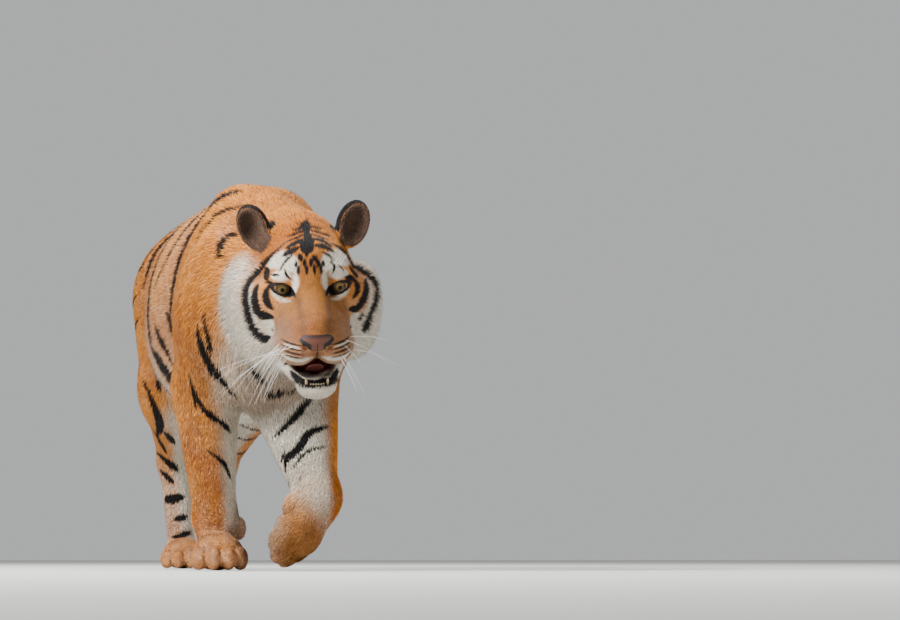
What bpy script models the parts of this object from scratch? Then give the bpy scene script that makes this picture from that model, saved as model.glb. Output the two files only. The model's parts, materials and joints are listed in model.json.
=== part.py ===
"""A life-size walking tiger, for Blender 4.5: blender --background --python part.py

The animal stands on the floor, facing -Y, with its left side at +X and the soles at Z = 0.
Flesh is a set of named masses: balls (ellipsoids) and limbs (tapered tubes with round ends),
placed from the joints of the skeleton. They are remeshed into one body, faired to their
blended distance field, then parted by thin cuts into the pieces that a person would name.
"""

import math
from dataclasses import dataclass, field, replace

import bmesh
import bpy
import numpy as np
from mathutils import Euler, Matrix, Vector

# ---------------------------------------------------------------- driving sizes, in metres
TRUNK_LENGTH = 0.97  # shoulder to hip
WITHERS_HEIGHT = 0.800
BARREL_HALF_WIDTH = 0.206
EYE_SPAN = 0.058  # from the face's middle to an eye's centre
EYE_RADIUS = 0.0185
GAP = 0.0004  # between neighbouring pieces
CUT_WIDTH = 0.0006
BODY_GRAIN = 0.0075
HEAD_GRAIN = 0.0042
BODY_TRIANGLES = 2850
HEAD_TRIANGLES = 1350
SLIVER = 2e-6  # m3, the largest crumb that a cut may leave
FLAT_ANGLE = math.radians(1.5)
TINY = 1e-9

# How the flesh is faired onto its distance field.
FAIRING_STEPS = 6
SLOPE_STEP = 0.0004
LONGEST_MOVE = 0.006
LEAST_STEEPNESS = 0.05
FAR_AWAY = 1.0
MASS_MARGIN = 0.10  # a mass counts this far past its reach
HOLLOW_MARGIN = 0.03

# The head's own frame: origin midway between the eyes, face to -Y, crown to +Z.
HEAD_ORIGIN = Vector((0.037, -0.416, 0.568))
HEAD_PITCH = math.radians(14)  # nose down
HEAD_YAW = math.radians(-5)  # towards the right shoulder
HEAD_ROLL = math.radians(-3)


# ---------------------------------------------------------------- masses
@dataclass(frozen=True)
class Frame:
    """A place and a turn that masses are given in."""

    origin: Vector = field(default_factory=lambda: Vector((0, 0, 0)))
    turn: Matrix = field(default_factory=lambda: Matrix.Identity(3))

    def point(self, local):
        """A local point, in the animal's frame."""
        return self.origin + self.turn @ Vector(local)


WORLD = Frame()
HEAD = Frame(
    HEAD_ORIGIN,
    (
        Matrix.Rotation(HEAD_YAW, 3, "Z")
        @ Matrix.Rotation(HEAD_ROLL, 3, "Y")
        @ Matrix.Rotation(HEAD_PITCH, 3, "X")
    ),
)


@dataclass(frozen=True)
class Mass:
    """One rounded mass. Its own Z runs along its length; length 0 makes it an ellipsoid."""

    name: str
    start: Vector
    axes: Matrix  # its own X, Y and Z as columns
    half: Vector  # half sizes along X, Y and Z (Z only counts on an ellipsoid)
    length: float = 0.0
    taper: float = 1.0  # size at the far end over size at the start
    blend: float = 0.03  # how softly it joins what comes before it

    def reach(self):
        """How far from its start the mass can lie."""
        return self.length + max(self.half) * max(1.0, self.taper)

    def distance(self, points):
        """Signed distance to the surface, near enough for fairing."""
        own = (points - np.array(self.start)) @ np.array(self.axes)
        half = np.array(self.half)
        if self.length == 0:
            scaled = np.linalg.norm(own / half, axis=1)
            steep = np.linalg.norm(own / half**2, axis=1)
            return scaled * (scaled - 1) / np.maximum(steep, TINY)
        along = np.clip(own[:, 2] / self.length, 0, 1)
        size = 1 + (self.taper - 1) * along
        mean = half[:2].mean()
        flat = own[:, :2] * (mean / half[:2])
        past = own[:, 2] - along * self.length
        return np.sqrt((flat**2).sum(1) + past**2) - mean * size

    def solid(self, detail=3):
        """A bmesh of the mass: one ball, or the hull of the balls at its two ends."""
        mesh = bmesh.new()
        ends = [(0.0, 1.0)] if self.length == 0 else [(0.0, 1.0), (self.length, self.taper)]
        for along, size in ends:
            depth = self.half.z if self.length == 0 else (self.half.x + self.half.y) / 2
            scale = Matrix.Diagonal((self.half.x * size, self.half.y * size, depth * size, 1))
            place = Matrix.Translation(self.start + self.axes.col[2] * along)
            bmesh.ops.create_icosphere(
                mesh, subdivisions=detail, radius=1, matrix=place @ self.axes.to_4x4() @ scale
            )
        if len(ends) == 2:
            made = bmesh.ops.convex_hull(mesh, input=mesh.verts)
            inside = [v for v in made["geom_interior"] if isinstance(v, bmesh.types.BMVert)]
            bmesh.ops.delete(mesh, geom=inside, context="VERTS")
        return mesh


def ball(name, centre, half, turn=(0, 0, 0), frame=WORLD, blend=0.03):
    """An ellipsoid, turned by Euler degrees in its frame."""
    own = Euler([math.radians(a) for a in turn]).to_matrix()
    return Mass(name, frame.point(centre), frame.turn @ own, Vector(half), blend=blend)


def limb(name, start, end, radius, end_radius, side=1.0, across=(1, 0, 0), frame=WORLD, blend=0.03):
    """A tapered tube. side is its size along across, over its size the other way."""
    start, end = frame.point(start), frame.point(end)
    along = (end - start).normalized()
    first = frame.turn @ Vector(across)
    first = (first - along * first.dot(along)).normalized()
    axes = Matrix((first, along.cross(first), along)).transposed()
    root = math.sqrt(side)
    half = Vector((radius * root, radius / root, radius))
    return Mass(name, start, axes, half, (end - start).length, end_radius / radius, blend)


# ---------------------------------------------------------------- the body
def trunk_masses():
    """Chest, barrel, loin and croup, front to back."""
    length, top, wide = TRUNK_LENGTH, WITHERS_HEIGHT, BARREL_HALF_WIDTH
    return [
        ball("ribs_front", (0, 0.12 * length, top - 0.235), (0.76 * wide, 0.30, 0.238), blend=0.05),
        ball("barrel", (0, 0.44 * length, top - 0.212), (wide, 0.35, 0.245), blend=0.07),
        ball("belly", (0, 0.50 * length, top - 0.290), (0.82 * wide, 0.30, 0.165), blend=0.07),
        ball("loin", (0, 0.80 * length, top - 0.142), (0.79 * wide, 0.30, 0.175), blend=0.07),
        ball("croup", (0, 0.99 * length, top - 0.118), (0.75 * wide, 0.205, 0.155), (-16, 0, 0), blend=0.06),
        limb("spine", (0, 0.02, top - 0.062), (0, 0.95 * length, top - 0.004), 0.060, 0.060, blend=0.07),
        ball("brisket", (0, -0.075, top - 0.325), (0.112, 0.15, 0.150), (18, 0, 0), blend=0.05),
        ball("withers", (0, 0.04, top - 0.060), (0.055, 0.13, 0.062), blend=0.05),
    ]


def neck_masses():
    """The thick neck, which carries the head low and a little to the left."""
    top = WITHERS_HEIGHT
    return [
        limb("neck_base", (0, 0.03, top - 0.19), (0.020, -0.19, top - 0.215), 0.178, 0.146, blend=0.06),
        limb("nape", (0, 0.0, top - 0.085), (0.038, -0.26, top - 0.135), 0.086, 0.078, blend=0.05),
        limb("throat", (0, -0.05, top - 0.33), (0.035, -0.29, top - 0.315), 0.115, 0.092, blend=0.05),
    ]


# The tail hangs behind the hocks and curls up at its tip: places on it, with its radius there.
TAIL_PLACES = (
    (0.000, 1.010, 0.735, 0.056),
    (0.000, 1.130, 0.690, 0.046),
    (0.006, 1.225, 0.540, 0.039),
    (0.014, 1.285, 0.370, 0.036),
    (0.024, 1.400, 0.228, 0.034),
    (0.036, 1.545, 0.218, 0.032),
    (0.044, 1.665, 0.315, 0.026),
)
TAIL_STEPS = 4


def smooth_path(places, steps):
    """A Catmull-Rom curve through places, with some steps between each two."""
    points = [np.array(place) for place in places]
    points = [2 * points[0] - points[1], *points, 2 * points[-1] - points[-2]]
    path = []
    for before, start, end, after in zip(points, points[1:], points[2:], points[3:]):
        for t in np.arange(steps) / steps:
            path.append(
                start + 0.5 * t * (end - before)
                + t * t * (before - 2.5 * start + 2 * end - 0.5 * after)
                + 0.5 * t**3 * (3 * (start - end) + after - before)
            )
    return [*path, points[-2]]


TAIL_PATH = smooth_path(TAIL_PLACES, TAIL_STEPS)


def tail_masses():
    """One limb for each step of the tail's path."""
    return [
        limb(f"tail_{number}", start[:3], end[:3], start[3], end[3], blend=0.006 if number else 0.05)
        for number, (start, end) in enumerate(zip(TAIL_PATH, TAIL_PATH[1:]))
    ]


# ---------------------------------------------------------------- legs
@dataclass(frozen=True)
class Foreleg:
    """One foreleg, by its joints. side is +1 on the left."""

    side: int
    scapula_top: tuple
    shoulder: tuple
    elbow: tuple
    wrist: tuple
    forearm: float  # radius under the elbow
    parting: float  # where the forearm is parted from the upper leg, from elbow to wrist
    spread: float  # half the width of the ball that parts the upper leg from the chest

    def masses(self):
        """Shoulder, upper arm and forearm."""
        label = "left" if self.side > 0 else "right"
        shoulder, elbow, wrist = (Vector(p) for p in (self.shoulder, self.elbow, self.wrist))
        muscle = shoulder.lerp(elbow, 0.40) + Vector((0.010 * self.side, 0.070, 0.045))
        deltoid = shoulder + Vector((0.004 * self.side, 0.0, 0.045))
        return [
            limb(f"{label}_scapula", self.scapula_top, shoulder, 0.052, 0.088, 0.66, blend=0.06),
            ball(f"{label}_deltoid", deltoid, (0.062, 0.085, 0.125), (28, 0, 0), blend=0.05),
            limb(f"{label}_upper_arm", shoulder, elbow, 0.092, 0.070, 0.80, blend=0.05),
            ball(f"{label}_triceps", muscle, (0.055, 0.085, 0.110), (-24, 0, 0), blend=0.045),
            limb(f"{label}_forearm", elbow, wrist, self.forearm, 0.046, 0.88, blend=0.035),
            ball(f"{label}_elbow", elbow + Vector((0, 0.030, 0.012)), (0.036, 0.040, 0.046), blend=0.03),
            ball(f"{label}_wrist", wrist, (0.046, 0.047, 0.050), blend=0.03),
        ]


@dataclass(frozen=True)
class Hindleg:
    """One hind leg, by its joints. side is +1 on the left."""

    side: int
    hip: tuple
    knee: tuple
    hock: tuple
    ankle: tuple

    def masses(self):
        """Thigh, shank and metatarsus."""
        label = "left" if self.side > 0 else "right"
        hip, knee, hock = (Vector(p) for p in (self.hip, self.knee, self.hock))
        ham = hip.lerp(knee, 0.55) + Vector((-0.012 * self.side, 0.105, -0.01))
        fold = hip + Vector((0, -0.13, -0.03))
        web = knee + Vector((-0.022 * self.side, -0.085, 0.080))
        cord = knee.lerp(hock, 0.5) + Vector((0, 0.02, 0.02))
        heel = hock + Vector((0, 0.012, 0.012))
        point = hock + Vector((0, 0.018, 0.004))
        return [
            limb(f"{label}_thigh", self.hip, self.knee, 0.132, 0.080, 0.66, blend=0.05),
            ball(f"{label}_hamstring", ham, (0.066, 0.085, 0.135), (20, 0, 0), blend=0.05),
            limb(f"{label}_flank_fold", fold, knee, 0.075, 0.055, 0.6, blend=0.06),
            ball(f"{label}_flank_web", web, (0.045, 0.105, 0.080), (20, 0, 0), blend=0.06),
            limb(f"{label}_shank", self.knee, self.hock, 0.074, 0.040, 0.78, blend=0.04),
            limb(f"{label}_heel_cord", cord, heel, 0.034, 0.026, 0.7, blend=0.04),
            ball(f"{label}_hock_point", point, (0.030, 0.034, 0.040), blend=0.025),
            limb(f"{label}_metatarsus", self.hock, self.ankle, 0.040, 0.036, 0.86, blend=0.03),
        ]


# Where a paw's four toes are, with the degrees that each one turns out.
PLANTED_TOES = ((-0.0455, -0.082, 9), (-0.0165, -0.107, 3), (0.0165, -0.107, -3), (0.0455, -0.082, -9))
LIFTED_TOES = ((-0.045, -0.112, 8), (-0.0165, -0.130, 3), (0.0165, -0.130, -3), (0.045, -0.112, -8))
TOE_HEIGHT = 0.0255
THUMB_ASIDE = 0.050


def planted_paw(label, centre, size, heading=0.0, thumb=0):
    """A paw flat on the floor: sole, knuckles and four toes. thumb is its inner side, or 0."""
    frame = Frame(Vector(centre), Matrix.Rotation(math.radians(heading), 3, "Z"))

    def sized(*sizes):
        return tuple(size * value for value in sizes)

    sole = ball(f"{label}_sole", sized(0, -0.020, 0.040), sized(0.054, 0.060, 0.043), frame=frame)
    knuckles = ball(
        f"{label}_knuckles", sized(0, -0.060, 0.046), sized(0.053, 0.045, 0.032), frame=frame, blend=0.02
    )
    made = [sole, knuckles]
    for number, (x, y, turn) in enumerate(PLANTED_TOES):
        place, half = sized(x, y, TOE_HEIGHT), sized(0.0185, 0.036, 0.0275)
        made.append(ball(f"{label}_toe_{number}", place, half, (0, 0, turn), frame, blend=0.008))
    if thumb:
        place = (THUMB_ASIDE * thumb, 0.002, 0.088)
        made.append(ball(f"{label}_thumb", place, (0.015, 0.017, 0.026), (10, 0, 0), frame, blend=0.012))
    return made


def lifted_paw(label, wrist, toes_to, back_to, thumb):
    """A paw that hangs from the bent wrist. Its toes point to toes_to and its back to back_to."""
    down = Vector(toes_to).normalized()
    back = Vector(back_to)
    back = (back - down * back.dot(down)).normalized()
    turn = Matrix(((-down).cross(back), -down, back)).transposed()
    frame = Frame(Vector(wrist), turn)
    made = [
        limb(f"{label}_hand", (0, 0.0, 0.0), (0, -0.080, 0.0), 0.047, 0.050, 1.15, (1, 0, 0), frame, 0.025),
        ball(f"{label}_sole", (0, -0.088, -0.010), (0.056, 0.046, 0.040), frame=frame, blend=0.02),
        ball(f"{label}_pad", (0, -0.080, -0.040), (0.033, 0.028, 0.018), frame=frame, blend=0.008),
        ball(f"{label}_wrist_pad", (0.004, 0.004, -0.050), (0.016, 0.021, 0.022), frame=frame, blend=0.010),
        ball(
            f"{label}_thumb", (THUMB_ASIDE * thumb, -0.034, -0.022), (0.016, 0.028, 0.018), (10, 0, 0),
            frame, blend=0.010,
        ),
    ]
    for number, (x, y, turned) in enumerate(LIFTED_TOES):
        place, half = (x, y, -0.012), (0.0185, 0.033, 0.026)
        made.append(ball(f"{label}_toe_{number}", place, half, (14, 0, turned), frame, blend=0.008))
    return made


RIGHT_FORELEG = Foreleg(
    side=-1, scapula_top=(-0.060, 0.050, 0.762), shoulder=(-0.108, -0.065, 0.540),
    elbow=(-0.116, 0.050, 0.385), wrist=(-0.100, -0.002, 0.110), forearm=0.078, parting=0.30, spread=0.132,
)
LEFT_FORELEG = Foreleg(
    side=1, scapula_top=(0.058, 0.030, 0.735), shoulder=(0.098, -0.095, 0.515),
    elbow=(0.068, -0.012, 0.365), wrist=(0.094, -0.162, 0.151), forearm=0.102, parting=0.50, spread=0.154,
)
RIGHT_HINDLEG = Hindleg(
    side=-1, hip=(-0.078, 0.925, 0.650), knee=(-0.116, 0.765, 0.430), hock=(-0.080, 0.950, 0.262),
    ankle=(-0.066, 0.905, 0.060),
)
LEFT_HINDLEG = Hindleg(
    side=1, hip=(0.078, 0.950, 0.650), knee=(0.104, 0.845, 0.425), hock=(0.060, 1.120, 0.275),
    ankle=(0.048, 1.115, 0.062),
)


def paw_masses():
    """The four paws: three planted, and the left fore one lifted."""
    return [
        *planted_paw("right_forepaw", (-0.098, -0.012, 0), 0.95, -2, 1),
        *lifted_paw("left_forepaw", LEFT_FORELEG.wrist, (-0.44, 0.02, -0.90), (0.72, -0.62, -0.30), -1),
        *planted_paw("right_hindpaw", (-0.066, 0.880, 0), 0.88, -4),
        *planted_paw("left_hindpaw", (0.046, 1.090, 0), 0.88, 3),
    ]


# ---------------------------------------------------------------- the head
def centred(name, centre, half, turn=(0, 0, 0), blend=0.02):
    """A ball on the head's own middle plane."""
    return ball(name, centre, half, turn, HEAD, blend)


def pair(name, centre, half, turn=(0, 0, 0), blend=0.02):
    """Two balls of the head, mirrored. The left one is given."""
    x, y, z = centre
    tilt, roll, yaw = turn
    return [
        ball(f"{label}_{name}", (side * x, y, z), half, (tilt, side * roll, side * yaw), HEAD, blend)
        for side, label in ((1, "left"), (-1, "right"))
    ]


def limb_pair(name, start, end, radius, end_radius, side_ratio=1.0, blend=0.02):
    """Two limbs of the head, mirrored. The left one is given."""
    mirror = Vector((-1, 1, 1))
    return [
        limb(f"left_{name}", start, end, radius, end_radius, side_ratio, frame=HEAD, blend=blend),
        limb(f"right_{name}", mirror * Vector(start), mirror * Vector(end), radius, end_radius, side_ratio,
             frame=HEAD, blend=blend),
    ]


def head_masses():
    """Skull, face and cheeks, in the head's own frame."""
    return [
        centred("skull", (0, 0.110, 0.016), (0.094, 0.130, 0.090), (8, 0, 0), 0.04),
        centred("forehead", (0, 0.046, 0.034), (0.062, 0.062, 0.048), (-25, 0, 0), 0.035),
        *pair("brow", (0.052, 0.014, 0.026), (0.032, 0.028, 0.018), (-10, 22, 16), 0.022),
        *pair("cheekbone", (0.086, 0.055, -0.026), (0.042, 0.070, 0.042), (0, 0, -22), 0.03),
        *pair("jowl", (0.080, 0.090, -0.092), (0.058, 0.085, 0.074), (0, 0, -10), 0.04),
        *pair("ruff", (0.106, 0.128, -0.070), (0.052, 0.062, 0.104), (0, 10, 0), 0.04),
        limb("bridge", (0, 0.020, 0.006), (0, -0.104, -0.064), 0.035, 0.034, 1.12, frame=HEAD, blend=0.025),
        *pair("upper_jaw", (0.041, -0.030, -0.070), (0.034, 0.082, 0.042), (14, 0, -10), 0.03),
        centred("nose", (0, -0.117, -0.088), (0.036, 0.026, 0.025), (20, 0, 0), 0.012),
        *pair("muzzle", (0.036, -0.086, -0.106), (0.039, 0.053, 0.035), (6, 0, -10), 0.016),
        *pair("lip", (0.053, -0.026, -0.112), (0.032, 0.072, 0.034), (2, 0, -12), 0.02),
        *pair("lid", (EYE_SPAN, 0.0005, 0.001), (0.0225, 0.0220, 0.0215), (0, 0, 0), 0.012),
    ]


def jaw_masses():
    """The lower jaw, dropped a little."""
    return [
        limb("jaw", (0, 0.095, -0.140), (0, -0.055, -0.190), 0.060, 0.026, 1.5, frame=HEAD, blend=0.014),
        centred("chin", (0, -0.078, -0.190), (0.041, 0.036, 0.025), (6, 0, 0), 0.012),
        *limb_pair("lower_lip", (0.030, -0.086, -0.177), (0.052, 0.030, -0.164), 0.0115, 0.016, 1.0, 0.014),
    ]


EAR_PLACE = (0.101, 0.140, 0.104)
EAR_TURN = (-14, 16, -18)


def ear_masses():
    """The two ears, left first."""
    return pair("ear", EAR_PLACE, (0.036, 0.024, 0.053), EAR_TURN, 0.014)


def hollows():
    """What is carved from the flesh: the ears' cups, the eyes' openings and the nostrils."""
    x, y, z = EAR_PLACE
    return [
        *pair("ear_cup", (x + 0.003, y - 0.036, z + 0.004), (0.0298, 0.040, 0.0462), EAR_TURN, 0.006),
        *pair("eye_opening", (EYE_SPAN + 0.001, -0.036, 0.0), (0.0205, 0.034, 0.0125), (0, -14, 20), 0.003),
        *pair("nostril", (0.0265, -0.150, -0.100), (0.011, 0.020, 0.0065), (0, -30, 22), 0.004),
    ]


def body_masses():
    """Every mass but the head's, in the order that it joins the ones before it."""
    legs = (RIGHT_FORELEG, LEFT_FORELEG, RIGHT_HINDLEG, LEFT_HINDLEG)
    made = [*trunk_masses(), *neck_masses(), *tail_masses()]
    for leg in legs:
        made += leg.masses()
    return made + paw_masses()


def face_masses():
    """Every mass of the head."""
    return head_masses() + jaw_masses() + ear_masses()


# ---------------------------------------------------------------- fairing
def soft_least(a, b, blend):
    """The smaller of two distances, rounded over where they are within blend of each other."""
    near = np.maximum(blend - np.abs(a - b), 0) / blend
    return np.minimum(a, b) - near * near * blend / 4


def blended_distance(points, masses, carved):
    """Signed distance to the masses joined softly, less the hollows."""
    total = np.full(len(points), FAR_AWAY)
    for mass in masses:
        offset = points - np.array(mass.start)
        near = (offset**2).sum(1) < (mass.reach() + MASS_MARGIN) ** 2
        total[near] = soft_least(total[near], mass.distance(points[near]), mass.blend)
    for mass in carved:
        offset = points - np.array(mass.start)
        near = (offset**2).sum(1) < (mass.reach() + HOLLOW_MARGIN) ** 2
        total[near] = -soft_least(-total[near], mass.distance(points[near]), mass.blend)
    return total


def slope(points, masses, carved):
    """The distance and its gradient, by forward differences."""
    here = blended_distance(points, masses, carved)
    ahead = [blended_distance(points + SLOPE_STEP * axis, masses, carved) for axis in np.eye(3)]
    return here, (np.stack(ahead, axis=1) - here[:, None]) / SLOPE_STEP


def fair(mesh, masses, carved):
    """Moves a mesh's vertices onto the blended surface, down its slope."""
    points = np.empty(len(mesh.vertices) * 3)
    mesh.vertices.foreach_get("co", points)
    points = points.reshape(-1, 3)
    for _ in range(FAIRING_STEPS):
        away, rise = slope(points, masses, carved)
        steep = np.maximum((rise**2).sum(1), LEAST_STEEPNESS)
        move = rise * (away / steep)[:, None]
        size = np.linalg.norm(move, axis=1, keepdims=True)
        points -= move * np.minimum(1, LONGEST_MOVE / np.maximum(size, TINY))
    mesh.vertices.foreach_set("co", points.ravel())
    mesh.update()


# ---------------------------------------------------------------- sculpting
def added(name, mesh):
    """An object for a mesh, in the scene."""
    thing = bpy.data.objects.new(name, mesh)
    bpy.context.scene.collection.objects.link(thing)
    return thing


def joined(name, masses, detail=3):
    """One object that holds the solids of all the masses."""
    whole = bmesh.new()
    scrap = bpy.data.meshes.new("scrap")
    for mass in masses:
        solid = mass.solid(detail)
        solid.to_mesh(scrap)
        solid.free()
        whole.from_mesh(scrap)
    mesh = bpy.data.meshes.new(name)
    whole.to_mesh(mesh)
    whole.free()
    bpy.data.meshes.remove(scrap)
    return added(name, mesh)


def settled(thing):
    """Applies an object's modifiers."""
    graph = bpy.context.evaluated_depsgraph_get()
    mesh = bpy.data.meshes.new_from_object(thing.evaluated_get(graph))
    thing.modifiers.clear()
    thing.data = mesh
    return thing


def remesh(thing, size):
    """One even skin over all that an object holds."""
    step = thing.modifiers.new("Remesh", "REMESH")
    step.mode = "VOXEL"
    step.voxel_size = size
    settled(thing)


def combine(thing, tool, operation):
    """Joins another object to this one, or takes it away, and removes it."""
    step = thing.modifiers.new("Combine", "BOOLEAN")
    step.operation = operation
    step.solver = "EXACT"
    step.object = tool
    settled(thing)
    bpy.data.objects.remove(tool)


def thin_out(thing, triangles):
    """Fewer triangles, with the form kept."""
    thing.data.calc_loop_triangles()
    step = thing.modifiers.new("Decimate", "DECIMATE")
    step.ratio = triangles / len(thing.data.loop_triangles)
    settled(thing)


def sculpt(name, masses, carved, size):
    """The faired body of a set of masses."""
    thing = joined(name, masses)
    remesh(thing, size)
    if carved:
        combine(thing, joined("hollows", carved), "DIFFERENCE")
        remesh(thing, size)
    fair(thing.data, masses, carved)
    return thing


# ---------------------------------------------------------------- cutting
def slab(centre, normal, half_width, half_height, thickness=CUT_WIDTH, up=(0, 0, 1)):
    """A thin plate across the flesh."""
    normal = Vector(normal).normalized()
    side = Vector(up).cross(normal).normalized()
    axes = Matrix((side, normal, side.cross(normal))).transposed().to_4x4()
    scale = Matrix.Diagonal((2 * half_width, thickness, 2 * half_height, 1))
    mesh = bmesh.new()
    bmesh.ops.create_cube(mesh, size=1, matrix=Matrix.Translation(centre) @ axes @ scale)
    made = bpy.data.meshes.new("slab")
    mesh.to_mesh(made)
    mesh.free()
    return added("slab", made)


def shell(mass, thickness=CUT_WIDTH):
    """A thin hollow ball, which parts the flesh inside it from the flesh outside."""
    inner = mass.solid(detail=2)
    bmesh.ops.reverse_faces(inner, faces=inner.faces)
    made = bpy.data.meshes.new("shell")
    inner.to_mesh(made)
    inner.free()
    outer = grown(mass, thickness).solid(detail=2)
    outer.from_mesh(made)
    outer.to_mesh(made)
    outer.free()
    return added("shell", made)


def loose_parts(thing):
    """Splits an object into one object for each body in it, and removes it."""
    mesh = bmesh.new()
    mesh.from_mesh(thing.data)
    left = set(mesh.verts)
    bodies = []
    while left:
        seed = left.pop()
        body, front = {seed}, [seed]
        while front:
            for edge in front.pop().link_edges:
                near = [vert for vert in edge.verts if vert in left]
                left.difference_update(near)
                body.update(near)
                front += near
        bodies.append({vert.index for vert in body})
    parts = []
    for number, body in enumerate(bodies):
        own = mesh.copy()
        bmesh.ops.delete(own, geom=[v for v in own.verts if v.index not in body], context="VERTS")
        if own.calc_volume() > SLIVER:
            data = bpy.data.meshes.new(f"{thing.name}_{number}")
            own.to_mesh(data)
            parts.append(added(data.name, data))
        own.free()
    mesh.free()
    bpy.data.objects.remove(thing)
    return parts


def middle(thing):
    """The mean of an object's vertices."""
    points = np.empty(len(thing.data.vertices) * 3)
    thing.data.vertices.foreach_get("co", points)
    return Vector(points.reshape(-1, 3).mean(0))


def part(thing, cutter, *names_and_places):
    """Cuts an object. Each loose part takes the name whose place is nearest to its middle."""
    combine(thing, cutter, "DIFFERENCE")
    names = dict(names_and_places)
    found = {}
    for piece in loose_parts(thing):
        centre = middle(piece)
        name = min(names, key=lambda key: (Vector(names[key]) - centre).length)
        if name in found:
            raise ValueError(f"{name} came out in more than one body")
        piece.name = piece.data.name = name
        found[name] = piece
    missing = set(names) - set(found)
    if missing:
        raise ValueError(f"the cut left nothing for {sorted(missing)}")
    return [found[name] for name in names]


# ---------------------------------------------------------------- the nodes
# Places inside the pieces, which tell them apart after a cut.
IN_HEAD = HEAD.point((0, 0, 0))
IN_NECK = HEAD.point((0, 0.22, 0))
IN_JAW = HEAD.point((0, 0, -0.18))
IN_TORSO = Vector((0, 0.4, 0.6))
IN_RUMP = Vector((0, 0.85, 0.6))
BEHIND_CHEST = Vector((0, 1.1, 0.6))

WHOLE = 0.35  # half the side of a plate that cuts right through the trunk
NECK_CUT = (0, 0.190, -0.03)
NECK_TILT = math.radians(12)
HEAD_END = 0.225  # the fine head is made this far back
MOUTH_HEIGHT = -0.1555
EAR_ROOM = 0.005  # an ear's node reaches this far past the ear
WRIST_CUT = 0.93  # from elbow to wrist
SHANK_CUT = 0.60  # from knee to hock
HIND_PAW_HEIGHT = 0.100


def discard(thing):
    """Removes an object."""
    bpy.data.objects.remove(thing)


def neck_slab():
    """The cut between the head and the neck."""
    normal = HEAD.turn @ Vector((0, math.cos(NECK_TILT), -math.sin(NECK_TILT)))
    return slab(HEAD.point(NECK_CUT), normal, WHOLE, WHOLE)


def flat_soles(thing):
    """Takes away all that lies under the floor."""
    below = bmesh.new()
    place = Matrix.Translation((0, 0.5, -0.5)) @ Matrix.Diagonal((2, 4, 1, 1))
    bmesh.ops.create_cube(below, size=1, matrix=place)
    mesh = bpy.data.meshes.new("floor")
    below.to_mesh(mesh)
    below.free()
    combine(thing, added("floor", mesh), "DIFFERENCE")


def cone(name, root, tip, radius, sides=8):
    """A slim cone from root to tip."""
    mesh = bmesh.new()
    axis = tip - root
    turn = axis.to_track_quat("Z", "Y").to_matrix().to_4x4()
    place = Matrix.Translation((root + tip) / 2) @ turn
    bmesh.ops.create_cone(
        mesh, cap_ends=True, segments=sides, radius1=radius, radius2=radius * 0.18,
        depth=axis.length, matrix=place,
    )
    data = bpy.data.meshes.new(name)
    mesh.to_mesh(data)
    mesh.free()
    return added(name, data)


CANINE = ((0.0200, -0.096, -0.178), (0.0222, -0.101, -0.150), 0.0046)  # root, tip and radius
INCISORS = 6
INCISOR_PITCH = 0.0050
INCISOR_ROW = ((-0.1045, -0.178), (-0.1060, -0.1635), 0.0023)  # root and tip by Y and Z, and radius
INCISOR_BOW = 0.0006  # how the row curves back to its ends


def add_lower_teeth(jaw):
    """Two canines and six incisors, grown from the jaw."""
    root, tip, radius = CANINE
    for side in (-1, 1):
        low, high = (HEAD.point((side * x, y, z)) for x, y, z in (root, tip))
        combine(jaw, cone("canine", low, high, radius), "UNION")
    root, tip, radius = INCISOR_ROW
    for number in range(INCISORS):
        place = number - (INCISORS - 1) / 2
        across, back = place * INCISOR_PITCH, INCISOR_BOW * place**2
        low, high = (HEAD.point((across, y + back, z)) for y, z in (root, tip))
        combine(jaw, cone("incisor", low, high, radius, 6), "UNION")


def eyeball(side, radius):
    """A ball about an eye's centre."""
    return ball("eye", (side * EYE_SPAN, 0, 0), (radius,) * 3, frame=HEAD)


TONGUE = ball("tongue", (0, -0.050, MOUTH_HEIGHT), (0.0195, 0.042, 0.0065), (-24, 0, 0), HEAD)


def grown(mass, by):
    """The mass, larger all round."""
    return replace(mass, half=mass.half + Vector((by,) * 3))


def head_nodes():
    """The head with its ears, eyes, nose, jaw and tongue."""
    near = [*trunk_masses(), *neck_masses(), *face_masses()]
    head = sculpt("head", near, hollows(), HEAD_GRAIN)
    trim(head, HEAD.point((0, HEAD_END, 0)), HEAD.turn.col[1])
    thin_out(head, HEAD_TRIANGLES)
    head, rest = part(head, neck_slab(), ("head", IN_HEAD), ("rest", IN_NECK))
    discard(rest)
    nodes = []
    for side, label in ((1, "left"), (-1, "right")):
        combine(head, joined("socket", [eyeball(side, EYE_RADIUS + GAP)]), "DIFFERENCE")
        nodes.append(joined(f"eye_{label}", [eyeball(side, EYE_RADIUS)]))
    for ear in ear_masses():
        label = ear.name.split("_")[0]
        name = f"ear_{label}"
        head, cut = part(head, shell(grown(ear, EAR_ROOM)), ("head", IN_HEAD), (name, ear.start))
        nodes.append(cut)
    pad = ball("pad", (0, -0.128, -0.090), (0.037, 0.022, 0.027), (12, 0, 0), HEAD)
    head, nose = part(head, shell(pad), ("head", IN_HEAD), ("nose", pad.start))
    gape = slab(HEAD.point((0, 0.05, MOUTH_HEIGHT)), HEAD.turn.col[2], WHOLE, WHOLE, up=(0, 1, 0))
    head, jaw = part(head, gape, ("head", IN_HEAD), ("lower_jaw", IN_JAW))
    for flesh in (head, jaw):
        combine(flesh, joined("socket", [grown(TONGUE, GAP)], 2), "DIFFERENCE")
    add_lower_teeth(jaw)
    return [*nodes, head, nose, jaw, joined("tongue", [TONGUE], 2)]


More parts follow.
